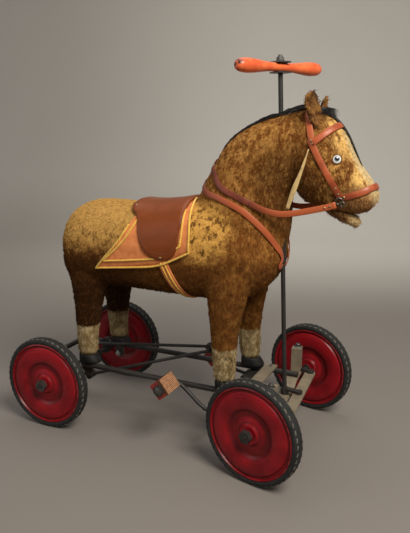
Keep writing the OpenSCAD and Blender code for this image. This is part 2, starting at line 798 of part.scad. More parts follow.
module track_rod() {
    link_r = 11;
    place() color("darkkhaki")
        translate([column_x + arm_len * cos(steer), arm_len * sin(steer), link_z]) rotate([0, 0, beam_skew])
            linear_extrude(link_t) difference() {
                link_shape([0, -king_y], [0, king_y], link_r, link_r, 2 * link_r);
                for (side = [LEFT, RIGHT]) translate([0, side * king_y]) circle(d = link_pin_d + 2 * run_fit);
                circle(d = link_pin_d + 2 * loose_fit);
            }
}

// Wheels: radius as a share of the disc, distance from the middle plane
hub_tube_r = 9;
disc_profile = [
    [0.36, 5.5], [0.48, 5.5], [0.54, 10], [0.61, 12], [0.7, 12.8], [0.79, 12.4], [0.87, 10.8],
    [0.905, 7.6], [0.945, 7.6], [0.97, 11.2]
];
module disc_half(up) {
    boss_h = hub_w / 2 - 3;
    face = concat(
        [[hub_tube_r + snug, boss_h], [hub_r - 2, boss_h], [hub_r + 2, boss_h - 4]],
        [for (p = disc_profile) [p[0] * disc_r, p[1]]]
    );
    rim_h = face[len(face) - 1].y;
    back = [for (p = face) [p.x, p.y - disc_sheet]];
    mirror([0, up ? 0 : 1, 0]) rotate([-90, 0, 0]) rotate_extrude($fn = 96) polygon(concat(
        face, [[disc_r, rim_h - disc_sheet], [disc_r, snug], [disc_r - disc_sheet, snug]],
        [[disc_r - disc_sheet, rim_h - 2 * disc_sheet]],
        [for (i = [len(back) - 2:-1:0]) back[i]]
    ));
}
module wheel_disc(bore_d) {
    disc_half(true);
    disc_half(false);
    rotate([90, 0, 0]) difference() {
        cylinder(r = hub_tube_r, h = hub_w, center = true);
        cylinder(d = bore_d, h = 2 * hub_w, center = true);
    }
}
module tyre() {
    crown = rolling_r - disc_r - bead;
    rotate([-90, 0, 0]) rotate_extrude($fn = 96) polygon(concat(
        [[disc_r + snug, tyre_w / 2 - 1], [disc_r + snug, 1 - tyre_w / 2]],
        [for (a = [-90:15:90])
            [disc_r + bead + crown * bulge(cos(a), 2.8), tyre_w / 2 * bulge(sin(a), 2.8)]]
    ));
}
module on_stub(side) {
    on_king_pin(side) translate([0, stub_reach, axle_z]) children();
}
module on_rear(side) {
    translate([0, side * rear_wheel_y, axle_z]) children();
}
module front_disc_left() { place() color("firebrick") on_stub(LEFT) wheel_disc(stub_d + 2 * run_fit); }
module front_disc_right() { place() color("firebrick") on_stub(RIGHT) wheel_disc(stub_d + 2 * run_fit); }
module front_tyre_left() { place() color("darkslategray") on_stub(LEFT) tyre(); }
module front_tyre_right() { place() color("darkslategray") on_stub(RIGHT) tyre(); }
module rear_disc_left() { place() color("firebrick") on_rear(LEFT) wheel_disc(axle_d + 2 * snug); }
module rear_disc_right() { place() color("firebrick") on_rear(RIGHT) wheel_disc(axle_d + 2 * snug); }
module rear_tyre_left() { place() color("darkslategray") on_rear(LEFT) tyre(); }
module rear_tyre_right() { place() color("darkslategray") on_rear(RIGHT) tyre(); }

// Rear axle with a crank each side of its middle
module crank_axle() {
    web_r = axle_d / 2 + 3;
    waist = web_r * 1.7;
    inner = rod_y - web_gap / 2 - web_t;
    outer = rod_y + web_gap / 2;
    seat = web_t / 2;
    reach = rear_wheel_y + hub_w / 2 + nut_t + thread_out;
    place() color("dimgray") {
        translate([0, 0, axle_z]) cross_rod(axle_d, -inner - seat, inner + seat);
        for (side = [LEFT, RIGHT]) {
            pin = crank_pin(side);
            translate([0, 0, axle_z]) cross_rod(axle_d, side * (outer + seat), side * reach);
            translate([pin.x, 0, pin.y]) cross_rod(pin_d, side * (inner + seat), side * (outer + seat));
            for (y = [inner, outer]) upright_plate(y, web_t, side)
                link_shape([0, axle_z], pin, web_r, web_r, waist);
        }
    }
}
module rear_hub_nuts() {
    place() color("dimgray") for (side = [LEFT, RIGHT])
        on_rear(side) rotate([-side * 90, 0, 0]) translate([0, 0, hub_w / 2]) difference() {
            cylinder(r = nut_r, h = nut_t, $fn = 6);
            translate([0, 0, -nut_t]) cylinder(d = axle_d + 2 * snug, h = 3 * nut_t);
        }
}

module drive_rod(side) {
    rear_eye_r = pin_d / 2 + 4;
    front_eye_r = 9;
    forged_l = 60;
    pin = crank_pin(side);
    translate([pin.x, side * rod_y, pin.y]) rotate([0, -rod_turn(side), 0]) difference() {
        union() {
            cross_rod(2 * rear_eye_r, -rod_eye_w / 2, rod_eye_w / 2);
            translate([rod_len, 0, 0]) cross_rod(2 * front_eye_r, -rod_eye_w / 2, rod_eye_w / 2);
            rotate([0, 90, 0]) cylinder(d = rod_d, h = rod_len);
            rotate([0, 90, 0]) cylinder(d1 = rod_eye_w, d2 = rod_d, h = forged_l);
        }
        cross_rod(pin_d + 2 * run_fit, -rod_eye_w, rod_eye_w);
        translate([rod_len, 0, 0]) cross_rod(pin_d, -rod_eye_w, rod_eye_w);
    }
}
module drive_rod_left() { place() color("dimgray") drive_rod(LEFT); }
module drive_rod_right() { place() color("dimgray") drive_rod(RIGHT); }

// Pedal levers, drawn as the right one stands
module on_lever(side) {
    translate([pivot_x, 0, pivot_z]) rotate([0, rocker_turn(RIGHT) - rocker_turn(side), 0]) children();
}
arm_eye_w = 10;
module pedal_shaft(side) {
    on_lever(side) cross_rod(shaft_d, side * side_gap, side * (pedal_arm_y + arm_eye_w / 2 + 2));
}
module rocker_arm(side) {
    eye_r = shaft_d / 2 + 4;
    tip_r = 8;
    boss_d = 9;
    bar_w = 12;
    tip = rocker_len * [cos(rocker_turn(RIGHT)), sin(rocker_turn(RIGHT))];
    on_lever(side) difference() {
        union() {
            upright_plate(rocker_y, rocker_t, side) link_shape([0, 0], tip, eye_r, tip_r, bar_w);
            translate([tip.x, 0, tip.y]) cross_rod(boss_d, side * (rocker_y - 3), side * rocker_y);
        }
        cross_rod(shaft_d + 2 * snug, -rod_y, rod_y);
    }
}
// Curved pedal rod: back from its eye in an S of straights joined by forged balls, up to the spindle
module pedal_arm(side) {
    joints = 6;
    ball_d = pedal_rod_d + 0.6;
    s_line = [for (i = [0 : joints]) [-pedal_back * i / joints, pedal_rise * (1 - cos(180 * i / joints)) / 2]];
    eye_r = shaft_d / 2 + 4;
    cap_r = 11;
    cap_t = 5;
    outer = pedal_arm_y + arm_eye_w / 2 + side_gap + pedal_w + side_gap;
    on_lever(side) difference() {
        union() {
            translate([0, side * pedal_arm_y, 0]) {
                cross_rod(2 * eye_r, -arm_eye_w / 2, arm_eye_w / 2);
                for (i = [0 : joints - 1]) {
                    step = s_line[i + 1] - s_line[i];
                    translate([s_line[i][0], 0, s_line[i][1]]) rotate([0, atan2(step[0], step[1]), 0])
                        cylinder(d = pedal_rod_d, h = norm(step));
                    translate([s_line[i + 1][0], 0, s_line[i + 1][1]]) sphere(d = ball_d);
                }
            }
            translate([-pedal_back, 0, pedal_rise]) {
                cross_rod(pedal_rod_d, side * pedal_arm_y, side * (outer + cap_t));
                cross_rod(2 * cap_r, side * outer, side * (outer + cap_t));
            }
        }
        cross_rod(shaft_d + 2 * snug, -2 * pedal_arm_y, 2 * pedal_arm_y);
    }
}
tread_t = 7;
rib_pitch = 3.6;
module on_spindle(side) {
    y = pedal_arm_y + arm_eye_w / 2 + side_gap + pedal_w / 2;
    on_lever(side) translate([-pedal_back, side * y, pedal_rise])
        rotate([0, pedal_lean + rocker_turn(side) - rocker_turn(RIGHT), 0]) children();
}
module pedal_block(side) {
    edge = 2;
    on_spindle(side) difference() {
        translate([0, 0, -spindle_up]) rotate([90, 0, 0]) linear_extrude(pedal_w, center = true) polygon([
            [-pedal_d / 2, edge - pedal_t / 2], [edge - pedal_d / 2, -pedal_t / 2],
            [pedal_d / 2 - edge, -pedal_t / 2], [pedal_d / 2, edge - pedal_t / 2],
            [pedal_d / 2, pedal_t / 2], [-pedal_d / 2, pedal_t / 2]
        ]);
        cross_rod(pedal_rod_d + 2 * run_fit, -pedal_w, pedal_w);
    }
}
module pedal_tread(side) {
    groove = rib_pitch / 2;
    groove_depth = 2;
    count = floor((pedal_w - groove) / rib_pitch);
    on_spindle(side) translate([0, 0, pedal_t / 2 - spindle_up + snug]) difference() {
        translate([-pedal_d / 2, -pedal_w / 2, 0]) cube([pedal_d, pedal_w, tread_t]);
        for (i = [0:count - 1])
            translate([-pedal_d, (i - (count - 1) / 2) * rib_pitch - groove / 2, tread_t - groove_depth])
                cube([2 * pedal_d, groove, tread_t]);
    }
}
module pedal_shaft_left() { place() color("dimgray") pedal_shaft(LEFT); }
module pedal_shaft_right() { place() color("dimgray") pedal_shaft(RIGHT); }
module rocker_arm_left() { place() color("dimgray") rocker_arm(LEFT); }
module rocker_arm_right() { place() color("dimgray") rocker_arm(RIGHT); }
module pedal_arm_left() { place() color("dimgray") pedal_arm(LEFT); }
module pedal_arm_right() { place() color("dimgray") pedal_arm(RIGHT); }
module pedal_block_left() { place() color("firebrick") pedal_block(LEFT); }
module pedal_block_right() { place() color("firebrick") pedal_block(RIGHT); }
module pedal_tread_left() { place() color("chocolate") pedal_tread(LEFT); }
module pedal_tread_right() { place() color("chocolate") pedal_tread(RIGHT); }

rail_left();
rail_right();
rear_cross_bar();
front_cross_strip();
axle_beam();
steering_heads();
axle_bearings();
foot_clamps();
pedal_bracket();
guide_tube();
torso();
neck();
head();
lower_jaw();
ears();
leg_front_left();
leg_front_right();
leg_rear_left();
leg_rear_right();
hooves();
mane();
forelock();
eyes();
saddle();
saddle_cloth();
girth();
breast_strap();
bridle();
reins();
bit_rings();
column();
drop_arm();
handlebar();
clamp_plates();
handle_nut();
track_rod();
stub_axle_left();
stub_axle_right();
front_disc_left();
front_disc_right();
front_tyre_left();
front_tyre_right();
crank_axle();
rear_disc_left();
rear_disc_right();
rear_tyre_left();
rear_tyre_right();
rear_hub_nuts();
drive_rod_left();
drive_rod_right();
pedal_shaft_left();
pedal_shaft_right();
rocker_arm_left();
rocker_arm_right();
pedal_arm_left();
pedal_arm_right();
pedal_block_left();
pedal_block_right();
pedal_tread_left();
pedal_tread_right();
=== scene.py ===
"""Ride-on horse on wheels: the stuffed horse, its tack and the painted iron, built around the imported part."""

import json
import math
import random

import bmesh
import bpy
from mathutils import Matrix, Vector, noise
from mathutils.bvhtree import BVHTree


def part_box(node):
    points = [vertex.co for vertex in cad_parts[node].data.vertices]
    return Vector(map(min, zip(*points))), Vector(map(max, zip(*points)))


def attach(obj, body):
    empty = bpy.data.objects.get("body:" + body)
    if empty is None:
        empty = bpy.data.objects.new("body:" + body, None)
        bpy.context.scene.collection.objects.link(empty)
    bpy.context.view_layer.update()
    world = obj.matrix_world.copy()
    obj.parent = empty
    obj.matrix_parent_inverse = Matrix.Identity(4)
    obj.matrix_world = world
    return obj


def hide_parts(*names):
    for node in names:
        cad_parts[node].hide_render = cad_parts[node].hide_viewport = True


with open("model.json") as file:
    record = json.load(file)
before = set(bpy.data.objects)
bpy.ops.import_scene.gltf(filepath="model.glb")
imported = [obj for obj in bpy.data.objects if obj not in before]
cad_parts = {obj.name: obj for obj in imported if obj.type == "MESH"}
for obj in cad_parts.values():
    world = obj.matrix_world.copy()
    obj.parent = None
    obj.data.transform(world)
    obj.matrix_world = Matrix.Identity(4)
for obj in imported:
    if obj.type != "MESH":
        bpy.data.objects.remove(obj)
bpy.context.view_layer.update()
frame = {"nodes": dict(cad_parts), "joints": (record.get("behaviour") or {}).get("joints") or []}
JOINTS = {joint["name"]: joint for joint in frame["joints"]}
random.seed(7)

# Places, in millimetres from the rear axle, the centre line and the floor
MM = 0.001
AXLE_X = JOINTS["rear_axle_spin"]["pos_m"][0]
REAR_LEGS, FRONT_LEGS, SADDLE = 45, 386, 218
RAIL_Y, RAIL_TOP, BACK = 73, 126, 488
TRUNK_MID = 390
SIDES = (1, -1)
WORDS = {1: "left", -1: "right"}
UP = Vector((0, 0, 1))


def at(x, y, z):
    """A point in the row frame."""
    return Vector((AXLE_X + x * MM, y * MM, z * MM))


def by_neck(x, y, z):
    """A point measured from the front legs and the back, as the neck, head and bridle are."""
    return at(FRONT_LEGS + x, y, BACK + z)


# Materials

class Value:
    """The output of a shader node, with arithmetic that adds further nodes."""

    def __init__(self, look, socket):
        self.look, self.socket = look, socket

    def __add__(self, other):
        return self.look.math("ADD", self, other)

    def __sub__(self, other):
        return self.look.math("SUBTRACT", self, other)

    def __rsub__(self, other):
        return self.look.math("SUBTRACT", other, self)

    def __mul__(self, other):
        return self.look.math("MULTIPLY", self, other)

    def __abs__(self):
        return self.look.math("ABSOLUTE", self)

    def band(self, low, high):
        """0 below low and 1 above high, smooth between; low may be the greater."""
        flip = low > high
        ends = {1: min(low, high), 2: max(low, high), 3: int(flip), 4: int(not flip)}
        return self.look.node("MapRange", {0: self, **ends}, interpolation_type="SMOOTHSTEP")

    def blend(self, colour, share):
        """This colour with a share of another one."""
        return self.look.mix(share, self, colour)


class Look:
    """A procedural material, built node by node in object coordinates."""

    def __init__(self, name, roughness, **constants):
        self.name = name
        self.material = bpy.data.materials.new(name)
        self.material.use_nodes = True
        self.tree = self.material.node_tree
        self.shader = self.tree.nodes["Principled BSDF"]
        self.rough(roughness)
        for socket, value in constants.items():
            self.feed(value, self.shader.inputs[socket.replace("_", " ")])
        self.place = self.node("TexCoord", {}, "Object")

    def feed(self, value, socket):
        if isinstance(value, Value):
            self.tree.links.new(value.socket, socket)
        else:
            socket.default_value = (*value, 1) if socket.type == "RGBA" else value

    def node(self, kind, inputs, output=0, **settings):
        """One output of a new node, with its settings made and its inputs fed."""
        made = self.tree.nodes.new("ShaderNode" + kind)
        for name, setting in settings.items():
            setattr(made, name, setting)
        for key, value in inputs.items():
            self.feed(value, made.inputs[key])
        return Value(self, made.outputs[output])

    def math(self, operation, a, b=0.0):
        return self.node("Math", {0: a, 1: b}, operation=operation)

    def vector(self, operation, a, b=(0, 0, 0), output="Vector"):
        return self.node("VectorMath", {0: a, 1: b}, output, operation=operation)

    def axis(self, name):
        return self.node("SeparateXYZ", {0: self.place}, name)

    def noise(self, size, detail=3.0, stretch=(1, 1, 1), turn=(0, 0, 0), roughness=0.55):
        """Noise whose blotches are about size metres across."""
        place = self.node("Mapping", {"Vector": self.place, "Scale": stretch, "Rotation": turn})
        return self.node("TexNoise", {"Vector": place, "Scale": 1 / size, "Detail": detail,
                                      "Roughness": roughness})

    def mix(self, share, a, b):
        return self.node("Mix", {0: share, 6: a, 7: b}, 2, data_type="RGBA")

    def mottle(self, a, b, size, detail=3.0, low=0.35, high=0.7):
        """Two colours in blotches."""
        return self.mix(self.noise(size, detail).band(low, high), a, b)

    def near(self, point, radius, soft):
        """1 within radius of a point, falling to 0 over soft metres."""
        return self.vector("DISTANCE", self.place, point, "Value").band(radius + soft, radius)

    def from_axis(self, point, direction):
        """Distance from a line."""
        shift = self.vector("SUBTRACT", self.place, point)
        across = self.vector("CROSS_PRODUCT", shift, Vector(direction).normalized())
        return self.vector("LENGTH", across, output="Value")

    def colour(self, value):
        self.feed(value, self.shader.inputs["Base Color"])
        return self

    def rough(self, value):
        self.feed(value, self.shader.inputs["Roughness"])

    def bump(self, height, depth, strength=1.0):
        self.feed(self.node("Bump", {"Height": height, "Distance": depth, "Strength": strength}),
                  self.shader.inputs["Normal"])
        return self


def scaled(colour, factor):
    return tuple(c * factor for c in colour)


def worn_paint(name, paint, under, roughness, wear=0.62, metallic=0.0):
    """Old enamel: mottled paint, small chips down to what is under it and a slightly uneven skin."""
    look = Look(name, roughness, Metallic=metallic)
    chips = look.noise(0.006, 6, roughness=0.7).band(wear, wear + 0.06)
    look.colour(look.mottle(paint, scaled(paint, 0.72), 0.03).blend(under, chips))
    look.rough(look.noise(0.012) * 0.25 + (roughness - 0.12))
    return look.bump(look.noise(0.004, 5), 0.0003, 0.6)


def enamel_wheel(name, centre, direction):
    """Red enamel with painted shade in the pressed recess and grooves, dark chips, and scuffs round the rim."""
    look = Look(name, 0.4, Coat_Weight=0.08, Coat_Roughness=0.25, Specular_IOR_Level=0.25)
    radius = look.from_axis(centre, direction)
    red, deep = (0.27, 0.006, 0.011), (0.16, 0.003, 0.006)
    # The dark colour set here is painted shade for the recess and grooves, and also the dark of the chips.
    shade_and_chip, scuff = (0.06, 0.003, 0.004), (0.36, 0.07, 0.06)
    # Painted shade darkens the recess ring and the pressed grooves.
    recess_shade = radius.band(0.03, 0.036) * radius.band(0.052, 0.046)
    shade = look.mottle(red, deep, 0.05).blend(shade_and_chip, recess_shade * 0.45)
    for groove, width, depth in ((0.0445, 0.006, 0.35), (0.083, 0.004, 0.5), (0.0225, 0.004, 0.5)):
        shade = shade.blend(shade_and_chip, abs(radius - groove).band(width, 0) * depth)
    rim = radius.band(0.086, 0.089) * look.noise(0.012, 5).band(0.45, 0.62)
    chips = look.noise(0.007, 6, roughness=0.7).band(0.67, 0.72)
    look.colour(shade.blend(scuff, rim * 0.5).blend(shade_and_chip, chips))
    look.rough(look.noise(0.02, 4) * 0.3 + 0.2)
    return look.bump(look.noise(0.009, 4), 0.0005, 0.5)


def mohair_coat():
    """Worn plush: blond croup, spotted pale shoulder, brown flank and legs, cream socks, gold face, blaze, with
    painted shade low down, at the rear, under the belly and at the throat.
    """
    look = Look("mohair", 0.95, Sheen_Weight=0.05, Sheen_Roughness=0.5, Specular_IOR_Level=0.06,
                Sheen_Tint=(0.95, 0.6, 0.25))
    along, across, up = look.axis("X"), look.axis("Y"), look.axis("Z")
    blond, gold, brown = (0.54, 0.3, 0.082), (0.4, 0.175, 0.038), (0.19, 0.064, 0.013)
    # deep is painted shade. dark is painted shade at the rear and under the belly, and also the coat's own dark
    # streaks.
    deep, dark, cream = (0.058, 0.019, 0.0045), (0.022, 0.0075, 0.0025), (0.66, 0.5, 0.26)
    streaks = look.noise(0.0036, 5, (1, 1, 0.45), (0, 0.5, 0), 0.7)
    tufts = look.noise(0.013, 5, (1, 1, 0.7), (0, 0.6, 0), 0.72)
    ragged = (look.noise(0.016, 6, roughness=0.78) - 0.5) * 0.13
    height, back = up + ragged, along + ragged

    coat = look.mix(tufts.band(0.42, 0.66), brown, gold)
    coat = coat.blend(brown, look.noise(0.055, 3).band(0.42, 0.6) * 0.5)
    # Painted shade darkens the coat low down, most of all at the rear.
    lower = height.band(0.42, 0.36)
    rear = lower * back.band(AXLE_X + 0.25, AXLE_X + 0.14)
    coat = coat.blend(deep, lower * 0.45).blend(deep, rear * 0.8)
    coat = coat.blend(dark, rear * height.band(0.36, 0.29) * 0.7)
    # Painted shade under the belly.
    under = up.band(0.335, 0.3) * along.band(AXLE_X + 0.35, AXLE_X + 0.32)
    coat = coat.blend(dark, under * 0.6)

    croup = height.band(0.378, 0.422) * back.band(AXLE_X + 0.26, AXLE_X + 0.22)
    from_patch = look.from_axis(at(332, 0, 452), (0, 1, 0)) + ragged * 0.9
    shoulder = from_patch.band(0.078, 0.046) * up.band(0.53, 0.48)
    coat = coat.blend(blond, croup * 0.97).blend((0.7, 0.37, 0.085), shoulder)
    nape = look.near(by_neck(40, 0, 140), 0.075, 0.06)
    coat = coat.blend((0.5, 0.25, 0.065), nape * tufts.band(0.48, 0.64))
    fleck = look.noise(0.011, 5, (1, 1, 0.6), (0, 0.7, 0), 0.7).band(0.5, 0.62)
    crest = look.near(by_neck(30, 0, 100), 0.1, 0.07)
    # Painted shade at the throat, under the jaw.
    throat = look.near(by_neck(104, 0, 46), 0.062, 0.05)
    coat = coat.blend((0.5, 0.24, 0.062), fleck * crest * 0.7).blend(deep, throat * 0.65)

    spots = look.noise(0.009, 4, (1, 1, 0.6), (0, 0.4, 0), 0.65).band(0.505, 0.6)
    edge = croup * height.band(0.455, 0.415)
    where = look.math("MAXIMUM", look.math("MAXIMUM", shoulder, edge) * 0.85, 0.25)
    where = where * (1 - croup * up.band(0.43, 0.46))
    coat = coat.blend((0.1, 0.033, 0.007), spots * where)

    mottle = (tufts + look.noise(0.005, 4) * 0.3).band(0.58, 0.8)
    face = look.mix(mottle, (0.17, 0.055, 0.013), (0.62, 0.33, 0.085))
    coat = coat.blend(face, back.band(AXLE_X + 0.53, AXLE_X + 0.58) * 0.85)
    brow = look.near(by_neck(220, 0, 148), 0.038, 0.03)
    nose = look.near(by_neck(254, 0, 62), 0.034, 0.02)
    coat = coat.blend((0.82, 0.5, 0.16), look.math("MAXIMUM", brow, nose) * tufts.band(0.34, 0.52))
    middle = (abs(across) + ragged * 0.06).band(0.026, 0.014)
    front = along.band(AXLE_X + 0.575, AXLE_X + 0.6)
    coat = coat.blend(cream, middle * front * up.band(0.535, 0.555))
    muzzle = front * (up + along * -0.33).band(0.43, 0.42)
    lips = look.near(by_neck(268, 0, 40), 0.018, 0.016)
    coat = coat.blend((0.28, 0.13, 0.047), muzzle * 0.85).blend(cream, lips * 0.8)

    hem = up + (look.noise(0.007, 3) - 0.5) * 0.016
    sock = look.mix(tufts.band(0.4, 0.66), (0.22, 0.15, 0.065), (0.5, 0.385, 0.21))
    # The light streaks are darker low on the body, where the coat has painted shade.
    hair = look.mix(lower * up.band(0.2, 0.23), (0.62, 0.36, 0.11), (0.24, 0.1, 0.024))
    coat = coat.blend(sock, hem.band(0.2165, 0.2115)).blend(hair, streaks.band(0.53, 0.68) * 0.42)
    look.colour(coat.blend(dark, streaks.band(0.47, 0.3) * 0.6))
    return look.bump(streaks + look.noise(0.0018, 2) * 0.6, 0.0028)


def short_coat(name, dark, light, stretch):
    """(look, streaks, colour) of the short plush on jaw and ears."""
    look = Look(name, 0.95, Sheen_Weight=0.05, Specular_IOR_Level=0.06)
    return look, look.noise(0.004, 3, stretch), look.mottle(dark, light, 0.012, 4, high=0.62)


def jaw_coat():
    look, streaks, coat = short_coat("jaw_mohair", (0.1, 0.038, 0.012), (0.3, 0.15, 0.05), (0.4, 1, 1))
    coat = coat.blend((0.6, 0.42, 0.2), look.near(by_neck(238, 0, -13), 0.018, 0.014) * 0.9)
    # Painted shade over the top of the jaw, inside the mouth under the upper lip.
    mouth_shade = look.axis("Z").band((BACK + 4) * MM, (BACK + 12) * MM)
    coat = coat.blend((0.04, 0.018, 0.01), mouth_shade * 0.7)
    look.colour(coat.blend((0.07, 0.03, 0.012), streaks.band(0.48, 0.34) * 0.5))
    return look.bump(streaks, 0.002, 0.9)


def ear_coat():
    look, streaks, coat = short_coat("ear_mohair", (0.075, 0.026, 0.007), (0.24, 0.11, 0.03), (1, 1, 0.35))
    coat = coat.blend((0.05, 0.02, 0.008), streaks.band(0.48, 0.34) * 0.6)
    look.colour(coat.blend((0.5, 0.29, 0.1), streaks.band(0.54, 0.7) * 0.4))
    return look.bump(streaks, 0.0028)


def leather(name, base, dark, roughness, grain=0.0012, coat=0.06, faded=None):
    """Leather, which may fade to another colour between two places along the horse."""
    look = Look(name, roughness, Coat_Weight=coat, Coat_Roughness=0.3, Specular_IOR_Level=0.25)
    shade = look.mottle(base, dark, 0.03, 4, 0.38)
    if faded:
        low, high, pale = faded
        shade = shade.blend(pale, look.axis("X").band(low, high))
    scratches = look.noise(0.004, 5, (1, 1, 0.25)).band(0.64, 0.72)
    look.colour(shade.blend(scaled(base, 1.6), scratches * 0.5))
    look.rough(look.noise(0.02) * 0.25 + (roughness - 0.12))
    return look.bump(look.noise(grain, 3), 0.0003, 0.6)


def faded_strap(name, low, high):
    """Strap leather, dark by the saddle and orange towards the head."""
    fade = (by_neck(low, 0, 0).x, by_neck(high, 0, 0).x, STRAP_ORANGE)
    return leather(name, (0.2, 0.045, 0.022), (0.12, 0.025, 0.014), 0.42, coat=0.22, faded=fade)


def plain(name, base, roughness, variation=0.75, size=0.01, depth=0.0004, metallic=0.0, **constants):
    """One colour in two tones with a fine uneven skin."""
    look = Look(name, roughness, Metallic=metallic, Specular_IOR_Level=0.25, **constants)
    look.colour(look.mottle(base, scaled(base, variation), size, 4, high=0.68))
    look.rough(look.noise(size * 0.7) * 0.2 + (roughness - 0.1))
    return look.bump(look.noise(size * 0.25, 4), depth, 0.6)


def ribbed_felt():
    """Salmon cloth with fine ribs that run down and back, as its rear edge does."""
    look = Look("cloth_felt", 0.92, Sheen_Weight=0.05, Specular_IOR_Level=0.12)
    run = look.axis("X") * 0.8 + look.axis("Z") * -0.6
    rib = look.math("PINGPONG", look.math("DIVIDE", run, 0.0032), 0.5) * 2
    base = look.mottle((0.8, 0.285, 0.098), (0.64, 0.2, 0.065), 0.014, 4, high=0.68)
    look.colour(base.blend((0.42, 0.11, 0.038), rib.band(0.5, 0.05) * 0.55))
    return look.bump(rib + look.noise(0.002, 3) * 0.5, 0.0007, 0.7)


def handle_lacquer():
    """Orange-red lacquer, rubbed dark at the ends of the grips."""
    look = Look("handle_wood", 0.4, Coat_Weight=0.25, Coat_Roughness=0.2, Specular_IOR_Level=0.3)
    low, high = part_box("handlebar")
    ends = 1 - look.near((low + high) / 2, 0.099, 0.014)
    grain = look.noise(0.005, 5, (1, 0.15, 1)).band(0.55, 0.7)
    shade = look.mottle((0.85, 0.17, 0.052), (0.68, 0.095, 0.028), 0.03)
    shade = shade.blend((0.85, 0.21, 0.075), grain * 0.35)
    look.colour(shade.blend((0.05, 0.018, 0.012), ends * look.noise(0.009, 5).band(0.44, 0.6)))
    return look.bump(look.noise(0.006, 4), 0.0004, 0.5)


def eye_glass(word, centre, forward):
    """A white ring, a blue-grey iris and a dark pupil round an axis."""
    look = Look(f"eye_glass_{word}", 0.12, Coat_Weight=0.6, Coat_Roughness=0.05)
    radius = look.from_axis(centre, forward)
    shade = look.mix(radius.band(0.0044, 0.0053), (0.09, 0.13, 0.17), (0.8, 0.78, 0.72))
    shade = shade.blend((0.006, 0.006, 0.008), radius.band(0.0036, 0.003))
    return look.colour(shade.blend((0.3, 0.24, 0.16), radius.band(0.0074, 0.0082)))


STRAP_ORANGE = (0.42, 0.095, 0.032)
LOOKS = {look.name: look for look in (
    worn_paint("frame_iron", (0.035, 0.031, 0.028), (0.11, 0.075, 0.05), 0.5, metallic=0.3),
    worn_paint("bracket_iron", (0.22, 0.175, 0.115), (0.08, 0.055, 0.034), 0.6, 0.66),
    worn_paint("bare_steel", (0.12, 0.115, 0.105), (0.05, 0.035, 0.026), 0.42, metallic=0.75),
    plain("tyre_rubber", (0.026, 0.0255, 0.024), 0.75, 0.65, 0.012),
    mohair_coat(),
    plain("mane_hair", (0.012, 0.01, 0.009), 0.5, 0.6, 0.006, 0.0003, Sheen_Weight=0.1),
    plain("hoof_cloth", (0.014, 0.013, 0.012), 0.6, 0.6, 0.008),
    leather("saddle_leather", (0.195, 0.043, 0.007), (0.175, 0.037, 0.006), 0.4, 0.0016, 0.12),
    ribbed_felt(),
    leather("strap_leather", STRAP_ORANGE, (0.27, 0.05, 0.017), 0.42, 0.0012, 0.22),
    plain("ring_metal", (0.2, 0.18, 0.15), 0.4, 0.6, 0.004, 0.0001, 0.9),
    handle_lacquer(),
    worn_paint("pedal_wood", (0.27, 0.022, 0.016), (0.1, 0.03, 0.015), 0.42),
    # The tread's dark colour is painted shade between the ribs; the ribs (rib_rubber) carry the rubber's own
    # orange.
    plain("tread_rubber", (0.12, 0.045, 0.02), 0.8, 0.7, 0.01),
)}
EAR_COAT, JAW_COAT = ear_coat(), jaw_coat()
BRAID = plain("braid_yellow", (0.86, 0.52, 0.085), 0.8, 0.7, 0.004, 0.0004, Sheen_Weight=0.2)
DASH = plain("tyre_dash", (0.15, 0.14, 0.115), 0.8, 0.5, 0.006)
STUD = plain("stud_brass", (0.5, 0.4, 0.2), 0.3, 0.6, 0.004, 0.0001, 0.9)
CREAM_STRAP = plain("cream_strap", (0.64, 0.44, 0.19), 0.7, 0.7, 0.012)
LID = plain("eye_lid", (0.12, 0.04, 0.014), 0.9, 0.6, 0.003)
BRIGHT = plain("bright_bolt", (0.5, 0.48, 0.44), 0.35, 0.6, 0.004, 0.0001, 0.9)
RIB = plain("rib_rubber", (0.6, 0.31, 0.16), 0.75, 0.7, 0.008)
THREAD = plain("stitch_thread", (0.3, 0.12, 0.06), 0.8, 0.8)


# Meshes

def put(name, data):
    """A new object in the scene."""
    obj = bpy.data.objects.new(name, data)
    bpy.context.scene.collection.objects.link(obj)
    return obj


def mesh_object(name, verts, faces, smooth=True):
    mesh = bpy.data.meshes.new(name)
    mesh.from_pydata([tuple(v) for v in verts], [], faces)
    mesh.validate()
    if smooth:
        mesh.shade_smooth()
    return put(name, mesh)


def paint(obj, look):
    obj.data.materials.clear()
    obj.data.materials.append(look.material)


def dress(obj, slot, look=None, body="chassis"):
    """Sets an object's look, taken from its slot unless one is given, and the body it rides on."""
    paint(obj, look or LOOKS[slot])
    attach(obj, body)
    return obj


def piece(name, meshes, slot, look=None, body="chassis", smooth=True):
    """A named object made of (vertices, faces)."""
    return dress(mesh_object(name, *join(*meshes), smooth), slot, look, body)


def spline(points, spacing):
    """Points at an even spacing on a smooth curve through the given ones."""
    points = [Vector(p) for p in points]
    ends = [2 * points[0] - points[1], *points, 2 * points[-1] - points[-2]]
    fine = []
    for a, b, c, d in zip(ends, ends[1:], ends[2:], ends[3:]):
        for step in range(24):
            t = step / 24
            fine.append(0.5 * (2 * b + (c - a) * t + (2 * a - 5 * b + 4 * c - d) * t * t
                               + (3 * b - a - 3 * c + d) * t ** 3))
    fine.append(points[-1])
    return evenly(fine, spacing)


def evenly(points, spacing):
    """The same line with its points an even distance apart."""
    lengths = [0.0]
    for a, b in zip(points, points[1:]):
        lengths.append(lengths[-1] + (b - a).length)
    count = max(2, round(lengths[-1] / spacing))
    line, k = [], 0
    for i in range(count + 1):
        goal = lengths[-1] * i / count
        while k < len(points) - 2 and lengths[k + 1] < goal:
            k += 1
        span = lengths[k + 1] - lengths[k] or 1
        line.append(points[k].lerp(points[k + 1], min(1, (goal - lengths[k]) / span)))
    return line


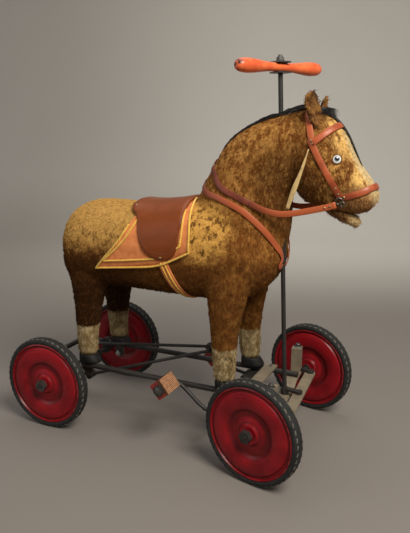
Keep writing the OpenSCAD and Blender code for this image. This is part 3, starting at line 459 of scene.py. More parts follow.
def along(table, t):
    """A value read smoothly from (place, value) pairs."""
    for (a, va), (b, vb) in zip(table, table[1:]):
        if t <= b:
            s = max(0.0, (t - a) / (b - a))
            return va + (vb - va) * s * s * (3 - 2 * s)
    return table[-1][1]


def skin_mesh(rings, closed=False):
    """Vertices and faces of a tube through rings of points, capped at both ends unless closed."""
    n = len(rings[0])
    faces = []
    for k in range(len(rings) if closed else len(rings) - 1):
        a, b = k * n, ((k + 1) % len(rings)) * n
        faces += [(a + i, a + (i + 1) % n, b + (i + 1) % n, b + i) for i in range(n)]
    if not closed:
        faces += [tuple(range(n - 1, -1, -1)), tuple(range((len(rings) - 1) * n, len(rings) * n))]
    return [p for ring in rings for p in ring], faces


def sheet_mesh(under, over):
    """Vertices and faces of a closed sheet between two grids of points."""
    high, wide = len(under), len(under[0])
    n = wide * high
    faces = []
    for j in range(high - 1):
        for i in range(wide - 1):
            a = j * wide + i
            faces.append((a, a + 1, a + wide + 1, a + wide))
            faces.append((a + n, a + n + wide, a + n + wide + 1, a + n + 1))
    rim = list(range(wide)) + [j * wide + wide - 1 for j in range(1, high)]
    rim += [(high - 1) * wide + i for i in range(wide - 2, -1, -1)] + [j * wide for j in range(high - 2, 0, -1)]
    faces += [(b, a, a + n, b + n) for a, b in zip(rim, rim[1:] + rim[:1])]
    return [p for row in under + over for p in row], faces


def join(*meshes):
    """Several (vertices, faces) as one."""
    verts, faces = [], []
    for v, f in meshes:
        faces += [tuple(i + len(verts) for i in face) for face in f]
        verts += v
    return verts, faces


def frames_along(line, normals=None, closed=False):
    """(point, side, up) along a line, with up near the given normals."""
    result, up = [], None
    for i, p in enumerate(line):
        before = line[i - 1] if i or closed else line[0]
        after = line[(i + 1) % len(line)] if i + 1 < len(line) or closed else line[-1]
        tangent = (after - before).normalized()
        if normals:
            up = normals[i]
        elif up is None:
            up = tangent.orthogonal()
        up = (up - tangent * up.dot(tangent)).normalized()
        result.append((p, tangent.cross(up), up))
    return result


def flat_profile(width, thickness):
    """Half-round edged section of a strap, its underside at height 0."""
    w, t = width / 2, thickness
    return [(-w, 0.3 * t), (-w + 0.4 * t, 0), (w - 0.4 * t, 0), (w, 0.3 * t), (w, 0.7 * t),
            (w - 0.5 * t, t), (0, 1.08 * t), (-w + 0.5 * t, t), (-w, 0.7 * t)]


def strap_mesh(line, normals, width, thickness, taper=((0, 1), (1, 1))):
    """A strap along a line; the taper gives shares of its width along it."""
    return skin_mesh([[p + side * u + up * v for u, v in
                       flat_profile(width * along(taper, i / (len(line) - 1)), thickness)]
                      for i, (p, side, up) in enumerate(frames_along(line, normals))])


def rope_mesh(line, radius, lay=0.005, closed=False, sides=6, normals=None):
    """A twisted braid: a round section with two ridges that wind along it."""
    rings, run = [], 0.0
    for i, (p, side, up) in enumerate(frames_along(line, normals, closed)):
        run += (line[i] - line[i - 1]).length if i else 0
        ring = []
        for k in range(sides):
            angle = 2 * math.pi * k / sides
            r = radius * (1 + 0.22 * math.cos(2 * angle - 2 * math.pi * run / lay))
            ring.append(p + side * r * math.cos(angle) + up * r * math.sin(angle))
        rings.append(ring)
    return skin_mesh(rings, closed)


def hoop(centre, normal, radius, count):
    """Points on a circle round a unit normal."""
    side = normal.orthogonal().normalized()
    other = normal.cross(side)
    return [centre + side * radius * math.cos(a) + other * radius * math.sin(a)
            for a in (2 * math.pi * k / count for k in range(count))]


def dome_mesh(centre, normal, radius, height, rings=4, sides=12, skirt=0.0):
    """A low rounded head, such as a stud or rivet, standing on a surface."""
    angles = [math.pi / 2 * k / rings for k in range(rings)]
    loops = [(radius, -skirt)] + [(radius * math.cos(a), height * math.sin(a)) for a in angles]
    verts, faces = skin_mesh([hoop(centre + normal * h, normal, r, sides) for r, h in loops])
    top, tip = len(verts) - sides, len(verts)
    faces[-1:] = [(top + i, top + (i + 1) % sides, tip) for i in range(sides)]
    return verts + [centre + normal * height], faces


def hex_mesh(centre, normal, radius, height, bevel=0.15):
    """A bolt head or nut with chamfered corners."""
    loops = ((radius, 0), (radius, height * (1 - bevel * 2)), (radius * (1 - bevel), height))
    return skin_mesh([hoop(centre + normal * h, normal, r, 6) for r, h in loops])


# The stuffed horse

def soft_copy(name, nodes, voxel, smoothing, swell):
    """One smooth skin over some of the part's stuffed solids."""
    joined = bmesh.new()
    for node in nodes:
        joined.from_mesh(frame["nodes"][node].data)
    mesh = bpy.data.meshes.new(name)
    joined.to_mesh(mesh)
    joined.free()
    rough = put(name + "_rough", mesh)
    grid = rough.modifiers.new("grid", "REMESH")
    grid.mode = "VOXEL"
    grid.voxel_size = voxel
    relax = rough.modifiers.new("relax", "SMOOTH")
    relax.factor = 0.5
    relax.iterations = smoothing
    bpy.context.view_layer.update()
    done = bpy.data.meshes.new_from_object(rough.evaluated_get(bpy.context.evaluated_depsgraph_get()))
    bpy.data.objects.remove(rough)
    done.name = name
    for vertex, normal in with_normals(done):
        vertex.co += normal * swell
    done.shade_smooth()
    return put(name, done)


def with_normals(mesh):
    """(vertex, normal) pairs, the normals as they are before any vertex moves."""
    return list(zip(mesh.vertices, [v.normal.copy() for v in mesh.vertices]))


def press(mesh, centre, radius, amount, pull=None):
    """Raises (or dents) a skin round a point, along its normals or one direction, fading with distance."""
    for vertex, normal in with_normals(mesh):
        share = (vertex.co - centre).length / radius
        if share < 2.5:
            vertex.co += (pull or normal) * amount * math.exp(-share * share * 2)
    mesh.update()


def nap(mesh, size, depth):
    """The uneven pile of the plush, as small tufts in the skin itself."""
    for vertex, normal in with_normals(mesh):
        tuft = noise.noise(vertex.co / size) + 0.5 * noise.noise(vertex.co / (size * 0.45) + Vector((3, 1, 7)))
        vertex.co += normal * depth * (tuft - 0.5)
    mesh.update()


SKIN_NODES = ["torso", "neck", "head", "leg_front_left", "leg_front_right", "leg_rear_left", "leg_rear_right"]
EYE = (201, 46, 101)
SWELLS = {  # place on the left side, radius and height
    "cheek": (by_neck, (176, 50, 66), 0.026, 0.004),
    "eye socket": (by_neck, EYE, 0.013, -0.003),
    "brow": (by_neck, (203, 46, 116), 0.012, 0.0025),
    "nostril": (by_neck, (256, 30, 38), 0.007, -0.004),
    "haunch": (at, (60, 90, 400), 0.06, 0.006),
}
horse = soft_copy("horse_skin", SKIN_NODES, 0.004, 14, 0.0012)
for side in SIDES:
    for place, (x, y, z), radius, amount in SWELLS.values():
        press(horse.data, place(x, side * y, z), radius, amount)
SKIN = BVHTree.FromPolygons([v.co.copy() for v in horse.data.vertices],
                            [tuple(p.vertices) for p in horse.data.polygons])
nap(horse.data, 0.011, 0.0011)
dress(horse, "mohair")
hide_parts(*SKIN_NODES)


def on_skin(point, lift=0.0):
    """(point, normal) on the horse nearest to a point, raised by lift."""
    place, normal, _, _ = SKIN.find_nearest(point)
    return place + normal * lift, normal


def beside(x, z, side, lift=0.0):
    """(point, normal) where a line across the horse, from the front legs and the back, meets its side."""
    start = by_neck(x, side * 250, z)
    place, normal, _, _ = SKIN.ray_cast(start, Vector((0, -side, 0)))
    if place is None:
        return on_skin(by_neck(x, side * 20, z), lift)
    return place + normal * lift, normal


def round_trunk(x, turn, lift=0.0):
    """(point, normal) on the trunk at a turn from straight up, positive to the left."""
    out = Vector((0, math.sin(turn), math.cos(turn)))
    place, normal, _, _ = SKIN.ray_cast(at(x, 0, TRUNK_MID) + out * 0.25, -out)
    return place + normal * lift, normal


def turn_at(x, z):
    """The turn round the trunk at which its left side has that height."""
    low, high = 0.0, 2.6
    for _ in range(22):
        turn = (low + high) / 2
        if round_trunk(x, turn)[0].z > z * MM:
            low = turn
        else:
            high = turn
    return (low + high) / 2


def smooth_normals(normals, rounds=4):
    for _ in range(rounds):
        normals = [(normals[max(0, i - 1)] + n + normals[min(len(normals) - 1, i + 1)]).normalized()
                   for i, n in enumerate(normals)]
    return normals


def lay_on_skin(points, spacing, lift):
    """A line snapped onto the skin through rough points, with its normals."""
    line = evenly([on_skin(p, lift)[0] for p in spline(points, spacing)], spacing)
    found = [on_skin(p, lift) for p in line]
    return [p for p, _ in found], smooth_normals([n for _, n in found])


def braid_mesh(points, radius):
    """A braid along points on the horse."""
    line = evenly(points, 0.0013)
    return rope_mesh(line, radius, normals=[on_skin(p)[1] for p in line])


def soft_piece(name, node, slot, smoothing, swell, tufts=None, look=None):
    """A soft skin in place of one of the part's solids."""
    obj = soft_copy(name, [node], 0.0025, smoothing, swell)
    if tufts:
        nap(obj.data, *tufts)
    dress(obj, slot, look)
    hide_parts(node)
    return obj


jaw = soft_piece("jaw_skin", "lower_jaw", "mohair", 8, 0.0006, (0.007, 0.0016), JAW_COAT)
press(jaw.data, by_neck(244, 0, -6), 0.04, 0.005, Vector((-0.2, 0, -1)))
soft_piece("hoof_boots", "hooves", "hoof_cloth", 8, 0.0004)


# Ears: leaf-shaped shells of plush with their hollow turned forward and outward

EAR_LENGTH, EAR_HALF, EAR_THICK = 68, 15.5, 5.5
EAR_OUT, EAR_BACK, EAR_TURN = {1: 26, -1: -8}, 18, 28
EAR_OUTLINE = [(0, 0.55), (0.15, 0.7), (0.4, 0.9), (0.66, 1), (0.84, 0.98), (0.94, 0.78), (1, 0.4)]
EAR_RINGS, EAR_POINTS = 18, 16


def rotation(degrees, axis):
    return Matrix.Rotation(math.radians(degrees), 3, axis)


def ear_mesh(side):
    root = by_neck(164, side * 32, 152)
    turn = rotation(-EAR_OUT[side], "X") @ rotation(-EAR_BACK, "Y") @ rotation(side * EAR_TURN, "Z")
    rings = []
    for i in range(EAR_RINGS + 1):
        t = i / EAR_RINGS
        half = EAR_HALF * along(EAR_OUTLINE, t)
        thick = EAR_THICK * (1 - 0.55 * t)
        hollow = 0.5 * half * math.sin(math.pi * min(1, t * 1.15))
        curl = 5 * max(0, t - 0.72) ** 2 / 0.0784
        ring = []
        for k in range(EAR_POINTS):
            a = 2 * math.pi * k / EAR_POINTS
            u = math.cos(a)
            x = thick * math.sin(a) - hollow * (1 - u * u) + curl
            ring.append(root + turn @ (Vector((x, u * half, t * EAR_LENGTH - curl * 0.25)) * MM))
        rings.append(ring)
    return skin_mesh(rings)


ears = piece("ear_leaves", map(ear_mesh, SIDES), "mohair", EAR_COAT)
nap(ears.data, 0.0065, 0.0024)
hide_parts("ears")


# Mane and forelock: a low dark pad with loose locks of hair over it

MANE_LOCKS, FORELOCK_LOCKS = 460, 170
FACE_LINE = [(178, 0, 182), (196, 0, 163), (210, 0, 143), (222, 0, 124), (233, 0, 104), (241, 0, 88)]
CREST = [by_neck(x, 0, z) for x, z in
         ((150, 188), (136, 189), (118, 188), (92, 182), (60, 172), (19, 156), (-16, 132), (-38, 106),
          (-56, 76))]


def lock_mesh(line, width):
    """A tapering lock of hair with a diamond section."""
    rings = []
    for i, (p, side, up) in enumerate(frames_along(line)):
        t = i / (len(line) - 1)
        w = width * (1 - t) ** 0.7 * (0.55 + 0.45 * min(1, t * 5)) + 0.0001
        rings.append([p + side * w, p + up * w * 0.6, p - side * w, p - up * w * 0.6])
    return skin_mesh(rings)


def mane_locks():
    crest = spline(CREST, 0.004)
    locks = []
    for _ in range(MANE_LOCKS):
        share = random.random() ** 1.6
        start = int(share * (len(crest) - 8))
        fade = 1 - 0.75 * share
        spread = random.gauss(0, 6.5) * fade * MM
        drift = spread * random.uniform(0.6, 2.2) + random.gauss(0, 3) * MM * fade
        reach = int(random.uniform(7, 15) * (0.6 + 0.4 * fade))
        height = random.uniform(1, 8.5) * fade * MM
        line = []
        for k in range(reach + 1):
            t = k / reach
            base = crest[min(start + k, len(crest) - 1)] + Vector((0, spread + drift * t, 0))
            p, _ = on_skin(base, 0.0008 + height * math.sin(math.pi * (0.15 + 0.85 * t)) ** 0.8)
            line.append(p + Vector((0, 0, random.gauss(0, 0.4) * MM)))
        locks.append(lock_mesh(line, random.uniform(0.7, 1.5) * MM))
    return locks


def forelock_locks():
    locks = []
    for _ in range(FORELOCK_LOCKS):
        y = random.gauss(0, 7)
        p = by_neck(random.uniform(146, 168), y, 187)
        out = Vector((random.uniform(0.3, 0.9), y / 14 + random.gauss(0, 0.3), random.uniform(0, 0.55)))
        length = random.uniform(14, 26) * MM
        line, step = [], out.normalized() * length / 7
        for _ in range(8):
            q, normal = on_skin(p, 0.001)
            line.append(p if (p - q).dot(normal) > 0 else q)
            step += Vector((0.05, 0, -0.95)) * length / 40
            p = p + step
        locks.append(lock_mesh(line, random.uniform(0.7, 1.4) * MM))
    return locks


def face_strand():
    """A smooth dark strand that lies down the middle of the face and ends in a point."""
    line, normals = lay_on_skin([by_neck(*p) for p in FACE_LINE], 0.004, 0.0006)
    strands = []
    for shift, start in ((-0.0022, 0), (0, 0), (0.0022, 0), (-0.0011, 4), (0.0012, 2)):
        rings = []
        for i, (p, side, up) in enumerate(frames_along(line[start:], normals[start:])):
            t = i / (len(line) - start - 1)
            w = 0.0032 * (1 - t) ** 0.6 + 0.0002
            centre = p + side * (shift * (1 - t) + 0.0006 * math.sin(9 * t + start)) + up * w * 0.5
            rings.append([centre + side * w * math.cos(a) + up * w * 0.8 * math.sin(a)
                          for a in (math.pi / 3 * k for k in range(6))])
        strands.append(skin_mesh(rings))
    return strands


soft_piece("mane_pad", "mane", "mane_hair", 6, -0.001, (0.006, 0.0016))
piece("mane_locks", mane_locks(), "mane_hair")
soft_piece("forelock_pad", "forelock", "mane_hair", 6, -0.001, (0.006, 0.0016))
piece("forelock_locks", forelock_locks() + face_strand(), "mane_hair")


# Eyes: glass domes set in a dark lid

for side, word in WORDS.items():
    x, y, z = EYE
    spot, out = on_skin(by_neck(x, side * y, z))
    look_out = (out + Vector((0.2, 0, 0.1))).normalized()
    glass = eye_glass(word, spot + out * 0.004 + Vector((-0.0008, 0, 0.0012)), look_out)
    eye = piece(f"eye_{word}", [dome_mesh(spot, out, 0.0082, 0.0046, 8, 28, 0.003)], "eye_glass", glass)
    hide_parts("eyes")
    rim = hoop(spot + out * 0.0012, out, 0.0085, 24)
    piece(f"eye_lid_{word}", [rope_mesh(rim, 0.0009, closed=True)], "mohair", LID)


# Saddle cloth: outlines are side-view points from the saddle's middle and the back

CLOTH_COLUMNS, CLOTH_ROWS, OVER_BACK = 60, 44, 8
CLOTH_LIFT, CLOTH_THICK, BRAID_LIFT = 0.0012, 0.0018, 0.0006
BRAID_RADIUS = 0.0022


def outline_turns(points):
    """A side-view outline as (x, turn) pairs round the trunk."""
    return [Vector((SADDLE + x, 0.0 if z > OVER_BACK else turn_at(SADDLE + x, BACK + z), 0)) for x, z in points]


def outline(*points):
    return spline(outline_turns(points), 0.5)


def pick(line, share):
    """The point at a share of a line."""
    place = share * (len(line) - 1)
    first = min(int(place), len(line) - 2)
    return line[first].lerp(line[first + 1], place - first)


def patch(left, bottom, right, columns, rows):
    """A four-sided cloth in (x, turn): rows from its top edge, along the middle of the back, to its bottom."""
    left, bottom, right = (evenly(line, 1) for line in (left, bottom, right))
    grid = []
    for v in (j / rows for j in range(rows + 1)):
        row = []
        for u in (i / columns for i in range(columns + 1)):
            top = left[0].lerp(right[0], u)
            sides = pick(left, v).lerp(pick(right, v), u)
            corners = (left[0] * (1 - u) + right[0] * u) * (1 - v) + (bottom[0] * (1 - u) + bottom[-1] * u) * v
            row.append(top.lerp(pick(bottom, u), v) + sides - corners)
        grid.append(row)
    return grid


def on_trunk(rows, lift):
    """A grid of points over rows of (x, turn)."""
    return [[round_trunk(x, turn, lift)[0] for x, turn in row] for row in rows]


def grid_area(grid):
    total = 0.0
    for a, b in zip(grid, grid[1:]):
        for p, q, r, s in zip(a, a[1:], b[1:], b):
            total += ((q - p).cross(r - p).length + (r - p).cross(s - p).length) / 2
    return total


half_cloth = patch(outline((-50, 40), (-42, -8), (-36, -22), (-61, -70), (-119, -132)),
                   outline((-119, -132), (-40, -124), (32, -113), (99, -83)),
                   outline((79, 40), (90, -8), (98, -48), (99, -83)), CLOTH_COLUMNS, CLOTH_ROWS)
cloth_rows = [[(p.x, p.y) for p in row] for row in reversed(half_cloth)]
cloth_rows += [[(p.x, -p.y) for p in row] for row in half_cloth[1:]]
cloth_under = on_trunk(cloth_rows, CLOTH_LIFT)
cloth_over = on_trunk(cloth_rows, CLOTH_LIFT + CLOTH_THICK)
cloth = piece("saddle_cloth_felt", [sheet_mesh(cloth_under, cloth_over)], "cloth_felt")
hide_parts("saddle_cloth")

border = [row[0] for row in half_cloth[10:-1]] + half_cloth[-1][:-1] + [row[-1] for row in half_cloth[:5:-1]]
inner = outline((-20, -10), (-25, -28), (-52, -72), (-98, -115))
inner += outline((-98, -115), (-40, -109), (32, -98), (79, -72))[1:]
inner += outline((79, -72), (81, -45), (76, -8), (68, 6))[1:]
braids = []
for path in (border, evenly(inner, 1)):
    for side in SIDES:
        line = [round_trunk(p.x, side * p.y, CLOTH_LIFT + CLOTH_THICK + BRAID_LIFT)[0] for p in path]
        braids.append(braid_mesh(line, BRAID_RADIUS))
braid = piece("cloth_braid", braids, "cloth_felt", BRAID)
grid_area(cloth_under)


# Saddle and girth

SADDLE_EDGE = [(-57, -8), (-46, -17), (-30, -24), (-23, -36), (-12, -73), (1, -92), (18, -101), (38, -104),
               (57, -100), (70, -88), (75, -70), (76, -45), (77, -18)]
SADDLE_LIFT, SADDLE_ROLL = 0.0036, 0.007
SADDLE_STATIONS, SADDLE_ACROSS = 44, 72
GIRTH_WIDTH, GIRTH_THICK, GIRTH_STEPS = 0.022, 0.0022, 48
STRIPE_OFFSET, STRIPE_RADIUS, STRIPE_LIFT = 0.0042, 0.0015, 0.0004


def saddle_rows():
    edge = evenly(outline_turns(SADDLE_EDGE), 0.1)
    first, last = edge[0].x, edge[-1].x
    rows = []
    for i in range(SADDLE_STATIONS + 1):
        x = first + (last - first) * (1 - math.cos(math.pi * i / SADDLE_STATIONS)) / 2
        turn = next((a.y + (b.y - a.y) * (x - a.x) / ((b.x - a.x) or 1)
                     for a, b in zip(edge, edge[1:]) if x <= b.x), edge[-1].y)
        rows.append([(x, turn * math.copysign(abs(k) ** 0.85, k))
                     for k in (2 * j / SADDLE_ACROSS - 1 for j in range(SADDLE_ACROSS + 1))])
    return rows


def saddle_grids():
    """Underside and top of a padded leather saddle: rolled edges, a full seat and a raised roll at the back."""
    rows = saddle_rows()
    under = on_trunk(rows, SADDLE_LIFT)
    for _ in range(2):
        for j in range(1, len(rows) - 1):
            for i in (0, -1):
                under[j][i] = (under[j - 1][i] + 2 * under[j][i] + under[j + 1][i]) / 4
    rim = under[0] + under[-1] + [row[i] for row in under for i in (0, -1)]
    over = []
    for row, below in zip(rows, under):
        line = []
        for (x, turn), p in zip(row, below):
            inward = min(1, min((p - q).length for q in rim) / SADDLE_ROLL)
            roll = math.sqrt(max(0, 1 - (1 - inward) ** 2))
            seat = math.exp(-(turn / 0.75) ** 2)
            back = math.exp(-((x - SADDLE + 44) / 17) ** 2) * seat
            fore = math.exp(-((x - SADDLE - 66) / 14) ** 2) * seat
            thick = 0.0026 + 0.0022 * seat + 0.0016 * back + 0.001 * fore
            line.append(p + on_skin(p)[1] * (0.0012 + thick * roll))
        over.append(line)
    return under, over


saddle_under, saddle_top = saddle_grids()
saddle = piece("saddle_seat", [sheet_mesh(saddle_under, saddle_top)], "saddle_leather")
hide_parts("saddle")


def girth_line():
    low = turn_at(SADDLE + 44, BACK - 106)
    points = []
    for share in (k / GIRTH_STEPS for k in range(GIRTH_STEPS + 1)):
        turn = low + (2 * math.pi - 2 * low) * share
        down = 1 - abs(2 * share - 1)
        points.append(round_trunk(SADDLE + 40 + 34 * math.sin(down * math.pi / 2), turn, 0.001))
    return [p for p, _ in points], smooth_normals([n for _, n in points])


girth_path = girth_line()
girth = piece("girth_strap", [strap_mesh(*girth_path, GIRTH_WIDTH, GIRTH_THICK)], "cloth_felt")
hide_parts("girth")
stripes = []
for shift in (-STRIPE_OFFSET, STRIPE_OFFSET):
    line = [p + side * shift + up * (GIRTH_THICK + STRIPE_LIFT) for p, side, up in frames_along(*girth_path)]
    stripes.append(braid_mesh(line, STRIPE_RADIUS))
piece("girth_braid", stripes, "cloth_felt", BRAID)


# Harness straps: side-view points from the front legs and the back

STRAP_W, STRAP_T, STRAP_LIFT, STRAP_STEP = 0.0115, 0.0017, 0.001, 0.004
JOINT, BIT = (155, 127), (208, 32)
BREAST = [(97, -92), (85, -58), (64, -26), (30, 3), (-14, 22), (-50, 31)]
CHEEK = [(151, 133), (166, 106), (182, 78), (196, 53), BIT]
THROAT = [(150, 53, 118), (139, 56, 80), (126, 59, 42), (116, 60, 10)]
LASH_W, LASH_T, LASH_TAPER = 0.0095, 0.0018, [(0, 0.25), (0.3, 0.55), (0.65, 1), (1, 0.75)]
NECK = [(48, 16), (37, 20), (-14, 43), (-36, 67), (-52, 84)]
REIN = [(44, 68, 17), (82, 65, 3), (118, 61, 1), (176, 54, 13), (203, 51, 21)]


def on_side(points, side):
    return [beside(x, z, side)[0] for x, z in points]


def over_horse(points, edge, middle):
    """Rough points up one side, over the top and down the other."""
    x, y, z = edge
    top = [by_neck(x, y, z), by_neck(middle[0], 0, middle[1]), by_neck(x, -y, z)]
    return on_side(points, 1) + top + on_side(points, -1)[::-1]


def skin_strap(points, lift=STRAP_LIFT):
    """A strap that lies on the horse."""
    return strap_mesh(*lay_on_skin(points, STRAP_STEP, lift), STRAP_W, STRAP_T)


def clear_line(points, side):
    """A line that hangs clear of the horse on one side, with its normals turned out."""
    line = spline([by_neck(x, side * y, z) for x, y, z in points], STRAP_STEP)
    return line, [Vector((0, side, 0))] * len(line)


chest = [by_neck(101, 0, -116), by_neck(100, 26, -110)]
breast_line = chest + over_horse(BREAST, (-68, 30, 44), (-72, 52)) + [by_neck(100, -26, -110), chest[0]]
breast_strap = piece("breast_band", [skin_strap(breast_line)], "strap_leather",
                     faded_strap("breast_leather", -90, 40))
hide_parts("breast_strap")

crown = over_horse([JOINT, (148, 152), (143, 170)], (139, 22, 186), (138, 193))
brow = over_horse([JOINT, (170, 140), (181, 149)], (191, 22, 157), (194, 159))
nose = over_horse([BIT, (226, 37), (242, 42)], (260, 18, 51), (266, 53))
cheeks = [skin_strap(on_side(CHEEK, side), 0.0016) for side in SIDES]
bridle = piece("bridle_straps", [skin_strap(crown), skin_strap(brow, 0.0022), skin_strap(nose), *cheeks],
               "strap_leather")
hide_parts("bridle")

lashes = [strap_mesh(*clear_line(THROAT, side), LASH_W, LASH_T, LASH_TAPER) for side in SIDES]
piece("throat_lash", lashes, "strap_leather", CREAM_STRAP)
rein_look = faded_strap("rein_leather", 30, 105)
neck_band = skin_strap(over_horse(NECK, (-64, 30, 96), (-68, 100)))
piece("rein_neck_band", [neck_band], "strap_leather", rein_look)
free_reins = [strap_mesh(*clear_line(REIN, side), STRAP_W, STRAP_T) for side in SIDES]
reins = piece("rein_ends", free_reins, "strap_leather", rein_look)
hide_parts("reins")

rings, studs = [], []
for side in SIDES:
    bit_at, bit_out = beside(*BIT, side, STRAP_T + 0.0015)
    centre = bit_at + Vector((-0.002, 0, -0.004)) + bit_out * 0.002
    for shift, radius in ((Vector((0, 0, 0)), 0.0062), (Vector((0.006, 0, -0.005)), 0.0042)):
        loop = hoop(centre + shift, bit_out, radius, 28)
        rings.append(rope_mesh(loop, 0.0013, lay=1.0, closed=True, sides=8))
    for x, z in (JOINT, (152, 133), (204, 40), (214, 34), (199, 50)):
        spot, out = beside(x, z, side, STRAP_T + STRAP_LIFT + 0.0002)
        studs.append(dome_mesh(spot, out, 0.0022, 0.0014, skirt=0.0015))
    for x, y, z in ((193, 54.4, 18), (184, 55.4, 15)):
        studs.append(dome_mesh(by_neck(x, side * y, z), Vector((0, side, 0)), 0.002, 0.0013, skirt=0.0015))
bits = piece("bit_loops", rings, "ring_metal")
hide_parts("bit_rings")
for x, z in ((-44, -9), (38, -96)):
    for side in SIDES:
        spot, out = round_trunk(SADDLE + x, side * turn_at(SADDLE + x, BACK + z))
        top = min((p for row in saddle_top for p in row), key=lambda p: (p - spot).length)
        studs.append(dome_mesh(top, out, 0.0024, 0.0014, skirt=0.002))
piece("harness_studs", studs, "ring_metal", STUD)


# Stitches down both sides of the saddle, set in from its edge

STITCH, STITCH_INSET, STITCH_ENDS = 0.0046, 4, 3


def saddle_stitches():
    threads = []
    for column in (STITCH_INSET, -1 - STITCH_INSET):
        line = evenly([row[column] for row in saddle_top[STITCH_ENDS:-STITCH_ENDS]], STITCH)
        for a, b in zip(line, line[1:]):
            middle, span = (a + b) / 2, (b - a) * 0.3
            normal = on_skin(middle)[1]
            arch = [middle - span + normal * 0.0001, middle + normal * 0.0006, middle + span + normal * 0.0001]
            threads.append(rope_mesh(arch, 0.0005, lay=1.0, sides=5))
    return threads


piece("saddle_stitches", saddle_stitches(), "saddle_leather", THREAD)


# Fur: short slim tufts all over the plush, kept off the tack and the steering column

FUR_LONG, FUR_LIFT, FUR_HALF, FUR_RIDGE, FUR_ROOT = 0.0076, 0.0017, 0.0009, 0.0008, 0.0002
FUR_CLEAR, COLUMN_CLEAR = 0.004, 0.014
TACK = ["saddle_cloth_felt", "cloth_braid", "saddle_seat", "girth_strap", "girth_braid", "breast_band",
        "bridle_straps", "rein_neck_band", "bit_loops", "harness_studs", "eye_left", "eye_right",
        "eye_lid_left", "eye_lid_right"]


def tack_tree():
    meshes = [bpy.data.objects[name].data for name in TACK]
    return BVHTree.FromPolygons(*join(*(([v.co.copy() for v in mesh.vertices],
                                         [tuple(face.vertices) for face in mesh.polygons]) for mesh in meshes)))


def pile_lay(point, normal, wild):
    """The way the pile lies: down and back on trunk and neck, down on the legs, down the face to the nose."""
    x, z = (point.x - AXLE_X) / MM, point.z / MM
    lean = 0.35 if x > 530 and z > 450 else -0.55 if z > 330 else 0.0
    lay = Vector((lean + random.gauss(0, wild), random.gauss(0, wild), -1 + random.gauss(0, wild)))
    return (lay - normal * lay.dot(normal)).normalized()


def fur_tufts(skin, count, wild):
    """Slim ridged tufts on a skin; the wilder they are, the more they stray from the lay of the pile."""
    faces = list(skin.polygons)
    pivot, axis = Vector(JOINTS["steer"]["pos_m"]), Vector(JOINTS["steer"]["axis"]).normalized()
    tufts = []
    for face in random.choices(faces, [face.area for face in faces], k=count):
        a, b, c = (skin.vertices[i].co for i in face.vertices[:3])
        u, v = random.random(), random.random()
        root = a + (b - a) * u + (c - b) * v - face.normal * FUR_ROOT
        if (root - pivot).cross(axis).length < COLUMN_CLEAR:
            continue
        lay = pile_lay(root, face.normal, wild)
        tip = root + lay * FUR_LONG * random.uniform(0.7, 1.3)
        tip += face.normal * FUR_LIFT * random.uniform(0.5, 1.5)
        if min(TACK_TREE.find_nearest(p)[3] for p in (root, tip)) < FUR_CLEAR:
            continue
        side = face.normal.cross(lay) * FUR_HALF * random.uniform(0.7, 1.3)
        ridge = root + face.normal * FUR_RIDGE
        tufts.append(([root - side, root + side, ridge, tip], [(0, 3, 2), (2, 3, 1), (0, 1, 3), (0, 2, 1)]))
    return tufts


def side_map(obj):
    """A flat map of a piece's two sides for baking, the left half for the left side."""
    low, high = (Vector([end(v.co[k] for v in obj.data.vertices) for k in range(3)]) for end in (min, max))
    layer = obj.data.uv_layers.new(name="OFBake")
    for face in obj.data.polygons:
        half = 0.0 if face.center.y > 0 else 0.5
        for loop in face.loop_indices:
            p = obj.data.vertices[obj.data.loops[loop].vertex_index].co
            layer.data[loop].uv = (half + 0.02 + 0.46 * (p.x - low.x) / (high.x - low.x),
                                   0.02 + 0.96 * (p.z - low.z) / (high.z - low.z))


TACK_TREE = tack_tree()
FURS = [("plush_fur", horse, LOOKS["mohair"], 30000, 0.35), ("ear_fur", ears, EAR_COAT, 1500, 1.0),
        ("jaw_fur", jaw, JAW_COAT, 500, 0.6)]
for name, skin, look, count, wild in FURS:
    side_map(piece(name, fur_tufts(skin.data, count, wild), "mohair", look, smooth=False))


# Wheels: light moulded dashes round each tyre and enamel on each disc

DASHES, DASH_LONG, DASH_WIDE, DASH_HIGH, DASH_ROOT = 46, 0.0085, 0.0028, 0.0009, 0.001
TREAD_RADIUS, TREAD_HALF = 0.0996, 0.0083


def tyre_dashes(centre, direction):
    """Two staggered rows of short raised dashes, one on each shoulder of the tread."""
    side = direction.cross(UP).normalized()
    top = side.cross(direction)
    pads = []
    for row, sign in enumerate(SIDES):
        for k in range(DASHES):
            angle = 2 * math.pi * (k + 0.5 * row) / DASHES
            out = side * math.cos(angle) + top * math.sin(angle)
            normal = (out + direction * sign * 0.5).normalized()
            base = centre + out * TREAD_RADIUS + direction * sign * TREAD_HALF
            lean = direction.cross(out) + direction * sign * 0.22
            rings = []
            for u, shrink in ((-0.5, 0.45), (-0.36, 1), (0.36, 1), (0.5, 0.45)):
                p = base + lean * DASH_LONG * u - out * (DASH_LONG * u) ** 2 * 5
                w = (direction - normal * direction.dot(normal)).normalized() * DASH_WIDE / 2 * shrink
                foot, head = p - normal * DASH_ROOT, p + normal * DASH_HIGH * shrink
                rings.append([foot - w, foot + w, head + w * 0.8, head - w * 0.8])
            pads.append(skin_mesh(rings))
    return pads


for end in ("front", "rear"):
    for word in WORDS.values():
        body = f"front_wheel_{word}" if end == "front" else "rear_axle"
        disc, tyre = f"{end}_disc_{word}", f"{end}_tyre_{word}"
        low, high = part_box(tyre)
        hub = (low + high) / 2
        direction = Vector(JOINTS[body + "_spin"]["axis"]).normalized()
        paint(frame["nodes"][disc], enamel_wheel(disc + "_enamel", hub, direction))
        piece(tyre + "_dashes", tyre_dashes(hub, direction), "tyre_rubber", DASH, body, smooth=False)


# Bolts, caps and rivets on the iron

